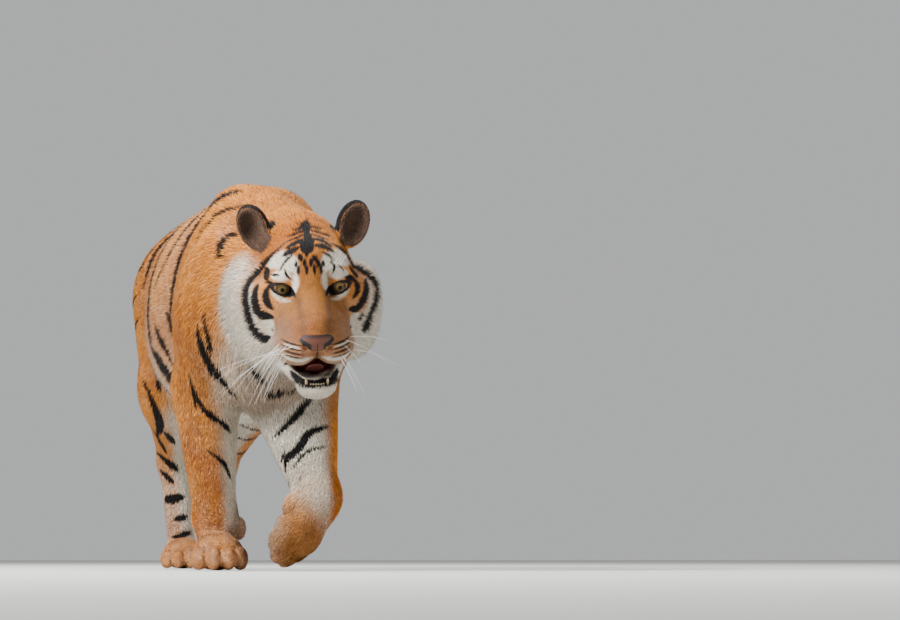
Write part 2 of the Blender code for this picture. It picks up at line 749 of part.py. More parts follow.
def trim(thing, point, outward):
    """Takes away all of an object on one side of a plane, and closes it."""
    mesh = bmesh.new()
    mesh.from_mesh(thing.data)
    geom = [*mesh.verts, *mesh.edges, *mesh.faces]
    made = bmesh.ops.bisect_plane(mesh, geom=geom, plane_co=point, plane_no=outward, clear_outer=True)
    rim = [item for item in made["geom_cut"] if isinstance(item, bmesh.types.BMEdge)]
    bmesh.ops.triangle_fill(mesh, edges=rim, use_beauty=True)
    bmesh.ops.recalc_face_normals(mesh, faces=mesh.faces)
    mesh.to_mesh(thing.data)
    mesh.free()


def foreleg_nodes(torso, leg, name):
    """Parts a foreleg from the trunk at the shoulder, and at the elbow and the wrist."""
    elbow, wrist = Vector(leg.elbow), Vector(leg.wrist)
    along = wrist - elbow
    below_elbow = slab(elbow + leg.parting * along, along, 0.12, 0.12, up=(0, 1, 0))
    torso, lower = part(torso, below_elbow, ("torso", IN_TORSO), ("lower", wrist))
    at_wrist = slab(elbow + WRIST_CUT * along, along, 0.09, 0.09, up=(0, 1, 0))
    arm, paw = part(
        lower, at_wrist,
        (f"{name}_forearm", elbow + 0.6 * along), (f"{name}_paw", elbow + 1.3 * along),
    )
    centre = (leg.side * 0.158, elbow.y - 0.04, 0.40)
    shoulder = ball("shoulder", centre, (leg.spread, 0.160, 0.29), (0, leg.side * 10, 0))
    in_arm = (leg.side * 0.12, 0, 0.45)
    torso, upper = part(torso, shell(shoulder), ("torso", IN_TORSO), (f"{name}_upper", in_arm))
    return torso, [upper, arm, paw]


def hindleg_nodes(torso, leg, name):
    """Parts a hind leg from the trunk at the hip, and in the shank and at the ankle."""
    knee, hock, ankle = Vector(leg.knee), Vector(leg.hock), Vector(leg.ankle)
    in_shank = slab(knee.lerp(hock, SHANK_CUT), (0, 0.35, -1), 0.12, 0.14, up=(1, 0, 0))
    torso, lower = part(torso, in_shank, ("torso", IN_TORSO), ("lower", ankle))
    at_ankle = slab((ankle.x, ankle.y, HIND_PAW_HEIGHT), (0, 0, 1), 0.10, 0.10, up=(0, 1, 0))
    shank, paw = part(
        lower, at_ankle,
        (f"{name}_shank", hock), (f"{name}_paw", (ankle.x, ankle.y - 0.04, 0.03)),
    )
    hip = ball("hip", (leg.side * 0.170, knee.y + 0.095, 0.47), (0.135, 0.225, 0.27))
    in_thigh = (leg.side * 0.12, 0.88, 0.5)
    torso, upper = part(torso, shell(hip), ("torso", IN_TORSO), (f"{name}_upper", in_thigh))
    return torso, [upper, shank, paw]


def tail_slab(path, number):
    """A cut square across the tail."""
    return slab(path[number], path[number + 1] - path[number - 1], 0.075, 0.075, up=(1, 0, 0))


# Cuts across the trunk from front to back: the piece in front of each, the cut's place and way,
# and a place in the piece.
TRUNK_CUTS = (
    ("neck", (0, -0.09, 0.58), (0, -1, -0.25), (0, -0.18, 0.58)),
    ("chest", (0, 0.27, 0.60), (0, -1, 0), (0, 0.08, 0.58)),
    ("barrel", (0, 0.68, 0.60), (0, -1, 0), (0, 0.46, 0.58)),
)
# Steps of the tail's path where it is cut: off the rump, then into its three pieces.
TAIL_CUTS = (8, 13, 20)


def body_nodes():
    """The neck, trunk, tail and legs."""
    torso = sculpt("torso", [*body_masses(), *face_masses()], [], BODY_GRAIN)
    thin_out(torso, BODY_TRIANGLES)
    torso, rest = part(torso, neck_slab(), ("torso", IN_TORSO), ("rest", IN_HEAD))
    discard(rest)
    flat_soles(torso)
    nodes = []
    for leg, name in ((RIGHT_FORELEG, "foreleg_right"), (LEFT_FORELEG, "foreleg_left")):
        torso, made = foreleg_nodes(torso, leg, name)
        nodes += made
    for leg, name in ((RIGHT_HINDLEG, "hindleg_right"), (LEFT_HINDLEG, "hindleg_left")):
        torso, made = hindleg_nodes(torso, leg, name)
        nodes += made
    for name, centre, normal, place in TRUNK_CUTS:
        cut = slab(centre, normal, WHOLE, WHOLE)
        made, torso = part(torso, cut, (name, place), ("torso", BEHIND_CHEST))
        nodes.append(made)
    path = [Vector(place[:3]) for place in TAIL_PATH]
    root, first, second = TAIL_CUTS
    rump, tail = part(torso, tail_slab(path, root), ("rump", IN_RUMP), ("tail", path[16]))
    base, tail = part(tail, tail_slab(path, first), ("tail_base", path[9]), ("tail", path[19]))
    length, tip = part(tail, tail_slab(path, second), ("tail_middle", path[16]), ("tail_tip", path[23]))
    return [*nodes, rump, base, length, tip]


# ---------------------------------------------------------------- finishing
FINISHES = {
    "coat": ((0.53, 0.24, 0.07, 1), 0.75),
    "pale": ((0.72, 0.64, 0.52, 1), 0.75),
    "leather": ((0.30, 0.13, 0.10, 1), 0.45),
    "eye": ((0.30, 0.18, 0.04, 1), 0.12),
    "flesh": ((0.45, 0.14, 0.12, 1), 0.40),
}
FINISH_OF = {"eye": "eye", "nose": "leather", "tongue": "flesh", "lower_jaw": "pale"}


def merge_flat_faces(thing):
    """The many small triangles that the cuts leave on flat faces become one face."""
    mesh = bmesh.new()
    mesh.from_mesh(thing.data)
    bmesh.ops.dissolve_limit(mesh, angle_limit=FLAT_ANGLE, verts=mesh.verts, edges=mesh.edges)
    bmesh.ops.triangulate(mesh, faces=mesh.faces)
    mesh.to_mesh(thing.data)
    mesh.free()


def finish(node):
    """Gives a node a material of its own."""
    kind = next((FINISH_OF[key] for key in FINISH_OF if node.name.startswith(key)), "coat")
    if node.name.endswith("_paw"):
        kind = "pale"
    colour, roughness = FINISHES[kind]
    material = bpy.data.materials.new(node.name)
    material.use_nodes = True
    surface = material.node_tree.nodes["Principled BSDF"]
    surface.inputs["Base Color"].default_value = colour
    surface.inputs["Roughness"].default_value = roughness
    node.data.materials.clear()
    node.data.materials.append(material)
    node.data.name = node.name


def main():
    """Builds the nodes and centres them over the origin, on the floor."""
    for thing in list(bpy.data.objects):
        bpy.data.objects.remove(thing)
    nodes = [*head_nodes(), *body_nodes()]
    corners = [Vector(corner) for node in nodes for corner in node.bound_box]
    low = Vector(min(c[i] for c in corners) for i in range(3))
    high = Vector(max(c[i] for c in corners) for i in range(3))
    centre = (low + high) / 2
    shift = Matrix.Translation((-centre.x, -centre.y, -low.z))
    for node in nodes:
        merge_flat_faces(node)
        node.data.transform(shift)
        finish(node)


main()
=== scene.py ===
"""The looks of a life-size walking tiger: one skin under a coat of solid tufts.

Flesh is a set of named masses, balls (ellipsoids) and limbs (tapered tubes), that join softly
into one signed distance. The skin lies under that surface by the depth of the coat, and the
tufts rise from it to the surface. Sizes are in metres in the animal's own frame: it stands at
Z = 0, faces -Y, and has its left side at +X. Each class builds one sub-assembly.
"""

import json
import logging
import math
from dataclasses import dataclass, field
from enum import IntEnum
from typing import Callable, Iterable, Sequence, Union

import bmesh
import bpy
import numpy as np
from mathutils import Euler, Matrix, Vector

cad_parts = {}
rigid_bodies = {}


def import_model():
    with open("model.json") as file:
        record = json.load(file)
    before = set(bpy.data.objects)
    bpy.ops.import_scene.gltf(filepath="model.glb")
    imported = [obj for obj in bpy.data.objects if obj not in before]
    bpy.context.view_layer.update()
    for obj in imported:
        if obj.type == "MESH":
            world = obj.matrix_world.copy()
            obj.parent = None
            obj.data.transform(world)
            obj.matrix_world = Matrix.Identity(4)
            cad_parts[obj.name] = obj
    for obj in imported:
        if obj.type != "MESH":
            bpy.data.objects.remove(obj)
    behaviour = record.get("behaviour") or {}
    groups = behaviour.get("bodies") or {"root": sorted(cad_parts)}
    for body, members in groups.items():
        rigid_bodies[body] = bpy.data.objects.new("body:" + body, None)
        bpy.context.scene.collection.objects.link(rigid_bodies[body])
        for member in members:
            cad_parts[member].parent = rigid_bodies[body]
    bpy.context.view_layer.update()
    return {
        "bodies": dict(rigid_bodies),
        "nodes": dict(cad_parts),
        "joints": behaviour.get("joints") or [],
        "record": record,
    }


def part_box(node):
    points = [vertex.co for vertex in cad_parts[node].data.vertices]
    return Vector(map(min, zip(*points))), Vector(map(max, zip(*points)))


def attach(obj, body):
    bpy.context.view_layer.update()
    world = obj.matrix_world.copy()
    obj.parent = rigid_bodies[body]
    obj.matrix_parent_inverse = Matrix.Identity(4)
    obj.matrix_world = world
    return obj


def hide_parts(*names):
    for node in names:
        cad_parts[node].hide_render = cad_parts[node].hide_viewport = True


log = logging.getLogger("tiger")

Triple = tuple[float, float, float]
Rows = np.ndarray  # a number or a row of numbers for each point
Dice = np.random.Generator
norm = np.linalg.norm
Thing = bpy.types.Object
Material = bpy.types.Material
Socket = bpy.types.NodeSocket
UV_NAME = "OFBake"
SEED = 11
TINY = 1e-9
OUTSIDE = -0.02  # how far inside a dark mark a point counts that is far from it


class Side(IntEnum):
    """A side of the animal, by the sign of its X."""

    RIGHT = -1
    LEFT = 1

    @property
    def label(self) -> str:
        """The side's name in the names of nodes and pieces."""
        return self.name.lower()


# -------- masses and their coat
@dataclass(frozen=True)
class Frame:
    """A place and a turn that masses are given in."""

    origin: Vector = field(default_factory=Vector)
    turn: Matrix = field(default_factory=lambda: Matrix.Identity(3))

    def point(self, local: Sequence[float]) -> Vector:
        """A local point, in the animal's frame."""
        return self.origin + self.turn @ Vector(local)

    def points(self, local: Rows) -> Rows:
        """Rows of local points, in the animal's frame."""
        return local @ np.array(self.turn).T + np.array(self.origin)

    def inside(self, points: Rows) -> Rows:
        """Rows of points of the animal's frame, in this frame."""
        return (points - np.array(self.origin)) @ np.array(self.turn)


def turned(pitch: float, roll: float, yaw: float) -> Matrix:
    """A turn by degrees about X, then Y, then Z."""
    return Euler([math.radians(angle) for angle in (pitch, roll, yaw)]).to_matrix()


WORLD = Frame()
# The head's own frame: origin midway between the eyes, face to -Y, crown to +Z.
HEAD = Frame(Vector((0.037, -0.416, 0.568)), turned(14, -3, -5))
AHEAD = HEAD.turn.col[1]  # the way from the nose to the back of the head
# The way from the front along which lines are laid onto the face, chest and legs.
FACED = Vector((0.156, 0.984, 0.089)).normalized()


@dataclass(frozen=True)
class Pelt:
    """The coat over one part of the body."""

    depth: float  # from the skin to the tips, square to the skin
    length: float  # of one tuft
    width: float  # of one tuft at its root
    lie: Triple | None = None  # the way the hair points; None follows the mass's own length
    pale: float = 0.0  # how pale it is all round, from 0 to 1
    inner: float = 0.0  # how much paler it is on the side towards the animal's middle
    wrap: float = 0.0  # where that side begins, from 1 at the innermost to -1 at the outermost edge

    @property
    def density(self) -> float:
        """Tufts to a square metre, for an even number of layers everywhere."""
        return 1 / (self.length * self.width)


FLANK = Pelt(0.0075, 0.017, 0.0027, (0, 1, -0.45), 0.20)
BACK = Pelt(0.0075, 0.017, 0.0027, (0, 1, 0))
RUMP = Pelt(0.0075, 0.017, 0.0027, (0, 1, -0.6), 0.06)
BELLY = Pelt(0.013, 0.036, 0.0040, (0, 1, -0.15), 1.0)
BREAST = Pelt(0.009, 0.024, 0.0032, (0, 0.12, -1), 0.60)
MANE = Pelt(0.009, 0.024, 0.0030, (0, 1, -0.4), 0.04)
DEWLAP = Pelt(0.012, 0.030, 0.0034, (0, 0.55, -1), 0.64)
TAIL = Pelt(0.0075, 0.020, 0.0028, None, 0.12)
ARM = Pelt(0.007, 0.017, 0.0026, (0, 0.3, -1), 0.08, 0.75, 0.05)
FOREARM = Pelt(0.0045, 0.012, 0.0022, None, 0.12, 0.66, 0.30)
LIFTED_ARM = Pelt(0.007, 0.017, 0.0026, (0, 0.3, -1), 0.03, 0.85, -0.45)
LIFTED_FOREARM = Pelt(0.0045, 0.012, 0.0022, None, 0.03, 0.95, -0.45)
THIGH = Pelt(0.007, 0.017, 0.0026, (0, 0.4, -1), 0.06, 0.9)
SHANK = Pelt(0.0045, 0.013, 0.0022, None, 0.12, 0.8)
ANKLE = Pelt(0.0045, 0.012, 0.0022, (0, 0.1, -1), 0.45, 0.4)
PAW = Pelt(0.0026, 0.0085, 0.0018, (0, -1, -0.25), 0.22)
LIFTED_PAW = Pelt(0.0040, 0.0110, 0.0020, (0, -1, -0.25), 0.06, 0.6, 0.65)
CROWN = Pelt(0.0045, 0.012, 0.0020, (0, 1, 0.25))
BROW = Pelt(0.0026, 0.0080, 0.0014, (0.35, 0.8, 0.75))
CHEEK = Pelt(0.0036, 0.0090, 0.0016, (0.45, 1, -0.25), 0.15)
JOWL = Pelt(0.0075, 0.020, 0.0024, (0.55, 0.75, -0.65), 0.90)
RUFF = Pelt(0.0140, 0.042, 0.0030, (0.55, 0.55, -0.75), 1.0)
BRIDGE = Pelt(0.0016, 0.0045, 0.0011, (0, 1, 0.45))
UPPER_JAW = Pelt(0.0026, 0.0070, 0.0013, (0.45, 1, -0.15), 0.12)
MUZZLE = Pelt(0.0018, 0.0052, 0.0011, (0.75, 0.8, -0.25), 0.30)
LIP = Pelt(0.0030, 0.0080, 0.0013, (0.6, 0.9, -0.45), 0.75)
LID = Pelt(0.0006, 0.0028, 0.0009, (0.5, 0.8, 0.3))
CHIN = Pelt(0.0045, 0.012, 0.0017, (0, 0.35, -1), 0.95)
JAW = Pelt(0.0060, 0.017, 0.0021, (0.2, 1, -0.6), 0.90)
EAR = Pelt(0.0022, 0.0075, 0.0015, (0.3, 0.15, 1))


@dataclass(frozen=True)
class Mass:
    """One rounded mass."""

    name: str  # one that starts with right has its hair's lie mirrored
    start: Vector  # its centre, or the middle of its first end
    axes: Matrix  # its own axes; Z runs along its length
    half: Vector  # half its sizes along them, at its first end
    length: float = 0.0  # to its other end; 0 makes it an ellipsoid
    taper: float = 1.0  # the other end's size over the first one's
    blend: float = 0.03  # how far from its edge it softens into the masses before it
    pelt: Pelt = FLANK
    turn: Matrix = WORLD.turn  # of the frame that the pelt's lie is given in

    @property
    def reach(self) -> float:
        """How far from its start the mass can lie."""
        return self.length + max(self.half) * max(1.0, self.taper)

    @property
    def lie(self) -> Vector:
        """The way the hair points.

        Returns:
            A way of length 1.
        """
        if self.pelt.lie is None:
            return self.axes.col[2]
        x, y, z = self.pelt.lie
        mirror = -1 if self.name.startswith("right") else 1
        return (self.turn @ Vector((mirror * x, y, z))).normalized()

    def inward(self, points: Rows) -> Rows:
        """How far each point is towards the animal's middle from the mass's axis.

        Args:
            points: rows of points.

        Returns:
            The offset over the radius there: 1 at the innermost edge, -1 at the outermost.
        """
        axis, half = np.array(self.axes.col[2]), max(self.half[:2])
        along = np.clip((points - np.array(self.start)) @ axis, 0, self.length)
        radius = half * (1 + (self.taper - 1) * along / max(self.length, TINY))
        return -math.copysign(1, self.start.x) * (points[:, 0] - self.start.x - along * axis[0]) / radius

    def near(self, points: Rows, margin: float) -> Rows:
        """The numbers of the points that lie within a margin of the mass's reach."""
        gap = ((points - np.array(self.start)) ** 2).sum(1)
        return np.flatnonzero(gap < (self.reach + margin) ** 2)

    def distance(self, points: Rows) -> Rows:
        """Signed distance to the surface: for a ball |p/h| (|p/h| - 1) / |p/h^2|.

        Args:
            points: rows of points p, which are turned into the mass's own axes; h is its half size.

        Returns:
            Metres outside the mass, less than 0 inside it.
        """
        own = (points - np.array(self.start)) @ np.array(self.axes)
        half = np.array(self.half)
        if self.length == 0:
            scaled = norm(own / half, axis=1)
            steep = norm(own / half**2, axis=1)
            return scaled * (scaled - 1) / np.maximum(steep, TINY)
        along = np.clip(own[:, 2] / self.length, 0, 1)
        mean = half[:2].mean()
        flat = own[:, :2] * (mean / half[:2])
        past = own[:, 2] - along * self.length
        return np.sqrt((flat**2).sum(1) + past**2) - mean * (1 + (self.taper - 1) * along)

    def solid(self, detail: int) -> bmesh.types.BMesh:
        """A bmesh of the mass: one ball, or the hull of the balls at its two ends.

        Args:
            detail: how often each icosphere is divided.

        Returns:
            The bmesh, in the animal's frame.
        """
        mesh = bmesh.new()
        ends = [(0.0, 1.0)] if self.length == 0 else [(0.0, 1.0), (self.length, self.taper)]
        depth = self.half.z if self.length == 0 else (self.half.x + self.half.y) / 2
        for along, size in ends:
            scale = Matrix.Diagonal((self.half.x * size, self.half.y * size, depth * size, 1))
            place = Matrix.Translation(self.start + self.axes.col[2] * along) @ self.axes.to_4x4()
            bmesh.ops.create_icosphere(mesh, subdivisions=detail, radius=1, matrix=place @ scale)
        if len(ends) == 2:
            made = bmesh.ops.convex_hull(mesh, input=mesh.verts)
            inside = [v for v in made["geom_interior"] if isinstance(v, bmesh.types.BMVert)]
            bmesh.ops.delete(mesh, geom=inside, context="VERTS")
        return mesh


def ball(
    name: str, centre: Sequence[float], half: Triple, turn: Triple = (0, 0, 0),
    frame: Frame = WORLD, blend: float = 0.03, pelt: Pelt = FLANK,
) -> Mass:
    """An ellipsoid.

    Args:
        name: its name.
        centre: its middle, in its frame.
        half: half its sizes.
        turn: degrees about its frame's X, Y and Z.
        frame: what centre and turn are given in.
        blend: how softly it joins the masses before it.
        pelt: the coat over it.

    Returns:
        The mass, in the animal's frame.
    """
    axes = frame.turn @ turned(*turn)
    return Mass(name, frame.point(centre), axes, Vector(half), 0.0, 1.0, blend, pelt, frame.turn)


def limb(
    name: str, start: Sequence[float], end: Sequence[float], radius: float, end_radius: float,
    side: float = 1.0, frame: Frame = WORLD, blend: float = 0.03, pelt: Pelt = FLANK,
) -> Mass:
    """A tapered tube with round ends.

    Args:
        name: its name.
        start, end: the middles of its two ends, in its frame.
        radius, end_radius: its mean radius at each.
        side: its size along its frame's X, over its size the other way.
        frame: what start and end are given in.
        blend: how softly it joins the masses before it.
        pelt: the coat over it.

    Returns:
        The mass, in the animal's frame.
    """
    first_point, last_point = frame.point(start), frame.point(end)
    along = (last_point - first_point).normalized()
    first = frame.turn.col[0]
    first = (first - along * first.dot(along)).normalized()
    axes = Matrix((first, along.cross(first), along)).transposed()
    root = math.sqrt(side)
    half = Vector((radius * root, radius / root, radius))
    length = (last_point - first_point).length
    return Mass(name, first_point, axes, half, length, end_radius / radius, blend, pelt, frame.turn)


def smooth_path(places: Sequence[Sequence[float]], steps: int) -> Rows:
    """A Catmull-Rom curve.

    Args:
        places: what it passes through, with as many numbers each as it carries.
        steps: from each place to the next.

    Returns:
        Rows along the curve, the first and last places among them.
    """
    points = [np.array(place, float) for place in places]
    points = [2 * points[0] - points[1], *points, 2 * points[-1] - points[-2]]
    path = []
    for before, start, end, after in zip(points, points[1:], points[2:], points[3:]):
        for t in np.arange(steps) / steps:
            path.append(
                start + 0.5 * t * (end - before)
                + t * t * (before - 2.5 * start + 2 * end - 0.5 * after)
                + 0.5 * t**3 * (3 * (start - end) + after - before)
            )
    return np.array([*path, points[-2]])


# -------- the body's shape
@dataclass(frozen=True)
class Trunk:
    """Chest, barrel, loin, croup and neck."""

    length: float = 0.97
    top: float = 0.800
    wide: float = 0.206

    def masses(self) -> list[Mass]:
        """The trunk from front to back, then the neck.

        Returns:
            The masses.
        """
        long, top, wide = self.length, self.top, self.wide
        return [
            ball("ribs_front", (0, 0.12 * long, top - 0.235), (0.76 * wide, 0.30, 0.238), blend=0.05),
            ball("barrel", (0, 0.44 * long, top - 0.212), (wide, 0.35, 0.245), blend=0.07),
            ball(
                "belly", (0, 0.50 * long, top - 0.290), (0.82 * wide, 0.30, 0.165),
                blend=0.07, pelt=BELLY,
            ),
            ball("loin", (0, 0.80 * long, top - 0.142), (0.79 * wide, 0.30, 0.175), blend=0.07),
            ball(
                "croup", (0, 0.99 * long, top - 0.118), (0.75 * wide, 0.205, 0.155), (-16, 0, 0),
                blend=0.06, pelt=RUMP,
            ),
            limb(
                "spine", (0, 0.02, top - 0.062), (0, 0.95 * long, top - 0.004), 0.060, 0.060,
                blend=0.07, pelt=BACK,
            ),
            ball(
                "brisket", (0, -0.075, top - 0.325), (0.112, 0.15, 0.150), (18, 0, 0),
                blend=0.05, pelt=BREAST,
            ),
            ball("withers", (0, 0.04, top - 0.060), (0.055, 0.13, 0.062), blend=0.05, pelt=BACK),
            limb(
                "neck_base", (0, 0.03, top - 0.19), (0.020, -0.19, top - 0.215), 0.178, 0.146,
                blend=0.06, pelt=MANE,
            ),
            limb(
                "nape", (0, 0.0, top - 0.085), (0.038, -0.26, top - 0.135), 0.086, 0.078,
                blend=0.05, pelt=BACK,
            ),
            limb(
                "throat", (0, -0.05, top - 0.33), (0.035, -0.29, top - 0.315), 0.115, 0.092,
                blend=0.05, pelt=DEWLAP,
            ),
        ]


@dataclass(frozen=True)
class Tail:
    """The tail hangs behind the hocks and curls up at its tip. Places are X, Y, Z and radius."""

    places: tuple[tuple[float, float, float, float], ...] = (
        (0.000, 1.010, 0.735, 0.056),
        (0.000, 1.130, 0.690, 0.046),
        (0.006, 1.225, 0.540, 0.039),
        (0.014, 1.285, 0.370, 0.036),
        (0.024, 1.400, 0.228, 0.034),
        (0.036, 1.545, 0.218, 0.032),
        (0.044, 1.665, 0.315, 0.026),
    )

    @property
    def path(self) -> Rows:
        """Rows of place and radius along the tail."""
        return smooth_path(self.places, 4)

    def masses(self) -> list[Mass]:
        """One limb for each step of the path.

        Returns:
            The masses.
        """
        return [
            limb(f"tail_{n}", a[:3], b[:3], a[3], b[3], blend=0.006 if n else 0.05, pelt=TAIL)
            for n, (a, b) in enumerate(zip(self.path, self.path[1:]))
        ]


@dataclass(frozen=True)
class Foreleg:
    """One foreleg, by its joints."""

    side: Side
    scapula_top: Triple
    shoulder: Triple
    elbow: Triple
    wrist: Triple
    forearm: float  # radius under the elbow
    upper: Pelt = ARM
    lower: Pelt = FOREARM

    def masses(self) -> list[Mass]:
        """Shoulder, upper arm and forearm.

        Returns:
            The masses.
        """
        label, sign = self.side.label, int(self.side)
        shoulder, elbow, wrist = map(Vector, (self.shoulder, self.elbow, self.wrist))
        muscle = shoulder.lerp(elbow, 0.40) + Vector((0.010 * sign, 0.070, 0.045))
        deltoid = shoulder + Vector((0.004 * sign, 0.0, 0.045))
        upper = {"pelt": self.upper}
        lower = {"pelt": self.lower}
        return [
            limb(f"{label}_scapula", self.scapula_top, shoulder, 0.052, 0.088, 0.66, blend=0.06, pelt=MANE),
            ball(f"{label}_deltoid", deltoid, (0.062, 0.085, 0.125), (28, 0, 0), blend=0.05, **upper),
            limb(f"{label}_upper_arm", shoulder, elbow, 0.092, 0.070, 0.80, blend=0.05, **upper),
            ball(f"{label}_triceps", muscle, (0.055, 0.085, 0.110), (-24, 0, 0), blend=0.045, **upper),
            limb(f"{label}_forearm", elbow, wrist, self.forearm, 0.046, 0.88, blend=0.035, **lower),
            ball(f"{label}_elbow", elbow + Vector((0, 0.030, 0.012)), (0.036, 0.040, 0.046), **upper),
            ball(f"{label}_wrist", wrist, (0.046, 0.047, 0.050), **lower),
        ]


@dataclass(frozen=True)
class Hindleg:
    """One hind leg, by its joints."""

    side: Side
    hip: Triple
    knee: Triple
    hock: Triple
    ankle: Triple

    def masses(self) -> list[Mass]:
        """Thigh, shank and metatarsus.

        Returns:
            The masses.
        """
        label, sign = self.side.label, int(self.side)
        hip, knee, hock = map(Vector, (self.hip, self.knee, self.hock))
        ham = hip.lerp(knee, 0.55) + Vector((-0.012 * sign, 0.105, -0.01))
        fold = hip + Vector((0, -0.13, -0.03))
        web = knee + Vector((-0.022 * sign, -0.085, 0.080))
        cord = knee.lerp(hock, 0.5) + Vector((0, 0.02, 0.02))
        heel = hock + Vector((0, 0.012, 0.012))
        point = hock + Vector((0, 0.018, 0.004))
        return [
            limb(f"{label}_thigh", hip, knee, 0.132, 0.080, 0.66, blend=0.05, pelt=THIGH),
            ball(f"{label}_hamstring", ham, (0.066, 0.085, 0.135), (20, 0, 0), blend=0.05, pelt=THIGH),
            limb(f"{label}_flank_fold", fold, knee, 0.075, 0.055, 0.6, blend=0.06, pelt=THIGH),
            ball(f"{label}_flank_web", web, (0.045, 0.105, 0.080), (20, 0, 0), blend=0.06, pelt=THIGH),
            limb(f"{label}_shank", knee, hock, 0.074, 0.040, 0.78, blend=0.04, pelt=SHANK),
            limb(f"{label}_heel_cord", cord, heel, 0.034, 0.026, 0.7, blend=0.04, pelt=SHANK),
            ball(f"{label}_hock_point", point, (0.030, 0.034, 0.040), blend=0.025, pelt=ANKLE),
            limb(f"{label}_metatarsus", hock, self.ankle, 0.040, 0.036, 0.86, blend=0.03, pelt=ANKLE),
        ]


THUMB_ASIDE = 0.050
TOE_HEIGHT = 0.0255


@dataclass(frozen=True)
class PlantedPaw:
    """A paw flat on the floor. thumb is its inner side, or 0."""

    label: str
    place: Triple
    heading: float
    size: float
    thumb: int = 0
    toes: tuple[Triple, ...] = (  # X, Y and the degrees that each toe turns out
        (-0.0455, -0.082, 9), (-0.0165, -0.107, 3), (0.0165, -0.107, -3), (0.0455, -0.082, -9),
    )

    def sized(self, *sizes: float) -> Triple:
        """Sizes of the paw's pattern, at its own size."""
        return tuple(self.size * value for value in sizes)

    def masses(self) -> list[Mass]:
        """Sole, knuckles and four toes.

        Returns:
            The masses.
        """
        on = {"frame": Frame(Vector(self.place), turned(0, 0, self.heading)), "pelt": PAW}
        label, sized = self.label, self.sized
        made = [
            ball(f"{label}_sole", sized(0, -0.020, 0.040), sized(0.054, 0.060, 0.043), **on),
            ball(
                f"{label}_knuckles", sized(0, -0.060, 0.046), sized(0.053, 0.045, 0.032),
                blend=0.02, **on,
            ),
        ]
        for number, (x, y, turn) in enumerate(self.toes):
            place, half = sized(x, y, TOE_HEIGHT), sized(0.0185, 0.036, 0.0275)
            made.append(ball(f"{label}_toe_{number}", place, half, (0, 0, turn), blend=0.008, **on))
        if self.thumb:
            place, half = (THUMB_ASIDE * self.thumb, 0.002, 0.088), (0.015, 0.017, 0.026)
            made.append(ball(f"{label}_thumb", place, half, (10, 0, 0), blend=0.012, **on))
        return made


@dataclass(frozen=True)
class LiftedPaw:
    """A paw that hangs from the bent wrist, by the ways its toes and its back face."""

    label: str
    wrist: Triple
    toes_to: Triple
    back_to: Triple
    thumb: int
    toes: tuple[Triple, ...] = (
        (-0.045, -0.112, 8), (-0.0165, -0.130, 3), (0.0165, -0.130, -3), (0.045, -0.112, -8),
    )

    @property
    def frame(self) -> Frame:
        """The paw's own frame: its toes to -Y, its back to +Z.

        Returns:
            The frame.
        """
        down = Vector(self.toes_to).normalized()
        back = Vector(self.back_to)
        back = (back - down * back.dot(down)).normalized()
        return Frame(Vector(self.wrist), Matrix(((-down).cross(back), -down, back)).transposed())

    def masses(self) -> list[Mass]:
        """Hand, pads, thumb and four toes.

        Returns:
            The masses.
        """
        on = {"frame": self.frame, "pelt": LIFTED_PAW}
        label = self.label
        thumb = (THUMB_ASIDE * self.thumb, -0.034, -0.022)
        made = [
            limb(f"{label}_hand", (0, 0, 0), (0, -0.080, 0), 0.047, 0.050, 1.15, blend=0.025, **on),
            ball(f"{label}_sole", (0, -0.088, -0.010), (0.056, 0.046, 0.040), blend=0.02, **on),
            ball(f"{label}_pad", (0, -0.080, -0.040), (0.033, 0.028, 0.018), blend=0.008, **on),
            ball(f"{label}_wrist_pad", (0.004, 0.004, -0.050), (0.016, 0.021, 0.022), blend=0.010, **on),
            ball(f"{label}_thumb", thumb, (0.016, 0.028, 0.018), (10, 0, 0), blend=0.010, **on),
        ]
        for number, (x, y, turn) in enumerate(self.toes):
            place, half = (x, y, -0.012), (0.0185, 0.033, 0.026)
            made.append(ball(f"{label}_toe_{number}", place, half, (14, 0, turn), blend=0.008, **on))
        return made


RIGHT_FORELEG = Foreleg(
    Side.RIGHT, scapula_top=(-0.060, 0.050, 0.762), shoulder=(-0.108, -0.065, 0.540),
    elbow=(-0.116, 0.050, 0.385), wrist=(-0.100, -0.002, 0.110), forearm=0.078,
)
LEFT_FORELEG = Foreleg(
    Side.LEFT, scapula_top=(0.058, 0.030, 0.735), shoulder=(0.098, -0.095, 0.515),
    elbow=(0.068, -0.012, 0.365), wrist=(0.094, -0.162, 0.151), forearm=0.102,
    upper=LIFTED_ARM, lower=LIFTED_FOREARM,
)
RIGHT_HINDLEG = Hindleg(
    Side.RIGHT, hip=(-0.078, 0.925, 0.650), knee=(-0.116, 0.765, 0.430), hock=(-0.080, 0.950, 0.262),
    ankle=(-0.066, 0.905, 0.060),
)
LEFT_HINDLEG = Hindleg(
    Side.LEFT, hip=(0.078, 0.950, 0.650), knee=(0.104, 0.845, 0.425), hock=(0.060, 1.120, 0.275),
    ankle=(0.048, 1.115, 0.062),
)
LEFT_HAND = LiftedPaw("left_forepaw", LEFT_FORELEG.wrist, (-0.44, 0.02, -0.90), (0.72, -0.62, -0.30), -1)
LEGS = (
    RIGHT_FORELEG, LEFT_FORELEG, RIGHT_HINDLEG, LEFT_HINDLEG,
    PlantedPaw("right_forepaw", (-0.098, -0.012, 0), -2, 0.95, thumb=1), LEFT_HAND,
    PlantedPaw("right_hindpaw", (-0.066, 0.880, 0), -4, 0.88),
    PlantedPaw("left_hindpaw", (0.046, 1.090, 0), 3, 0.88),
)


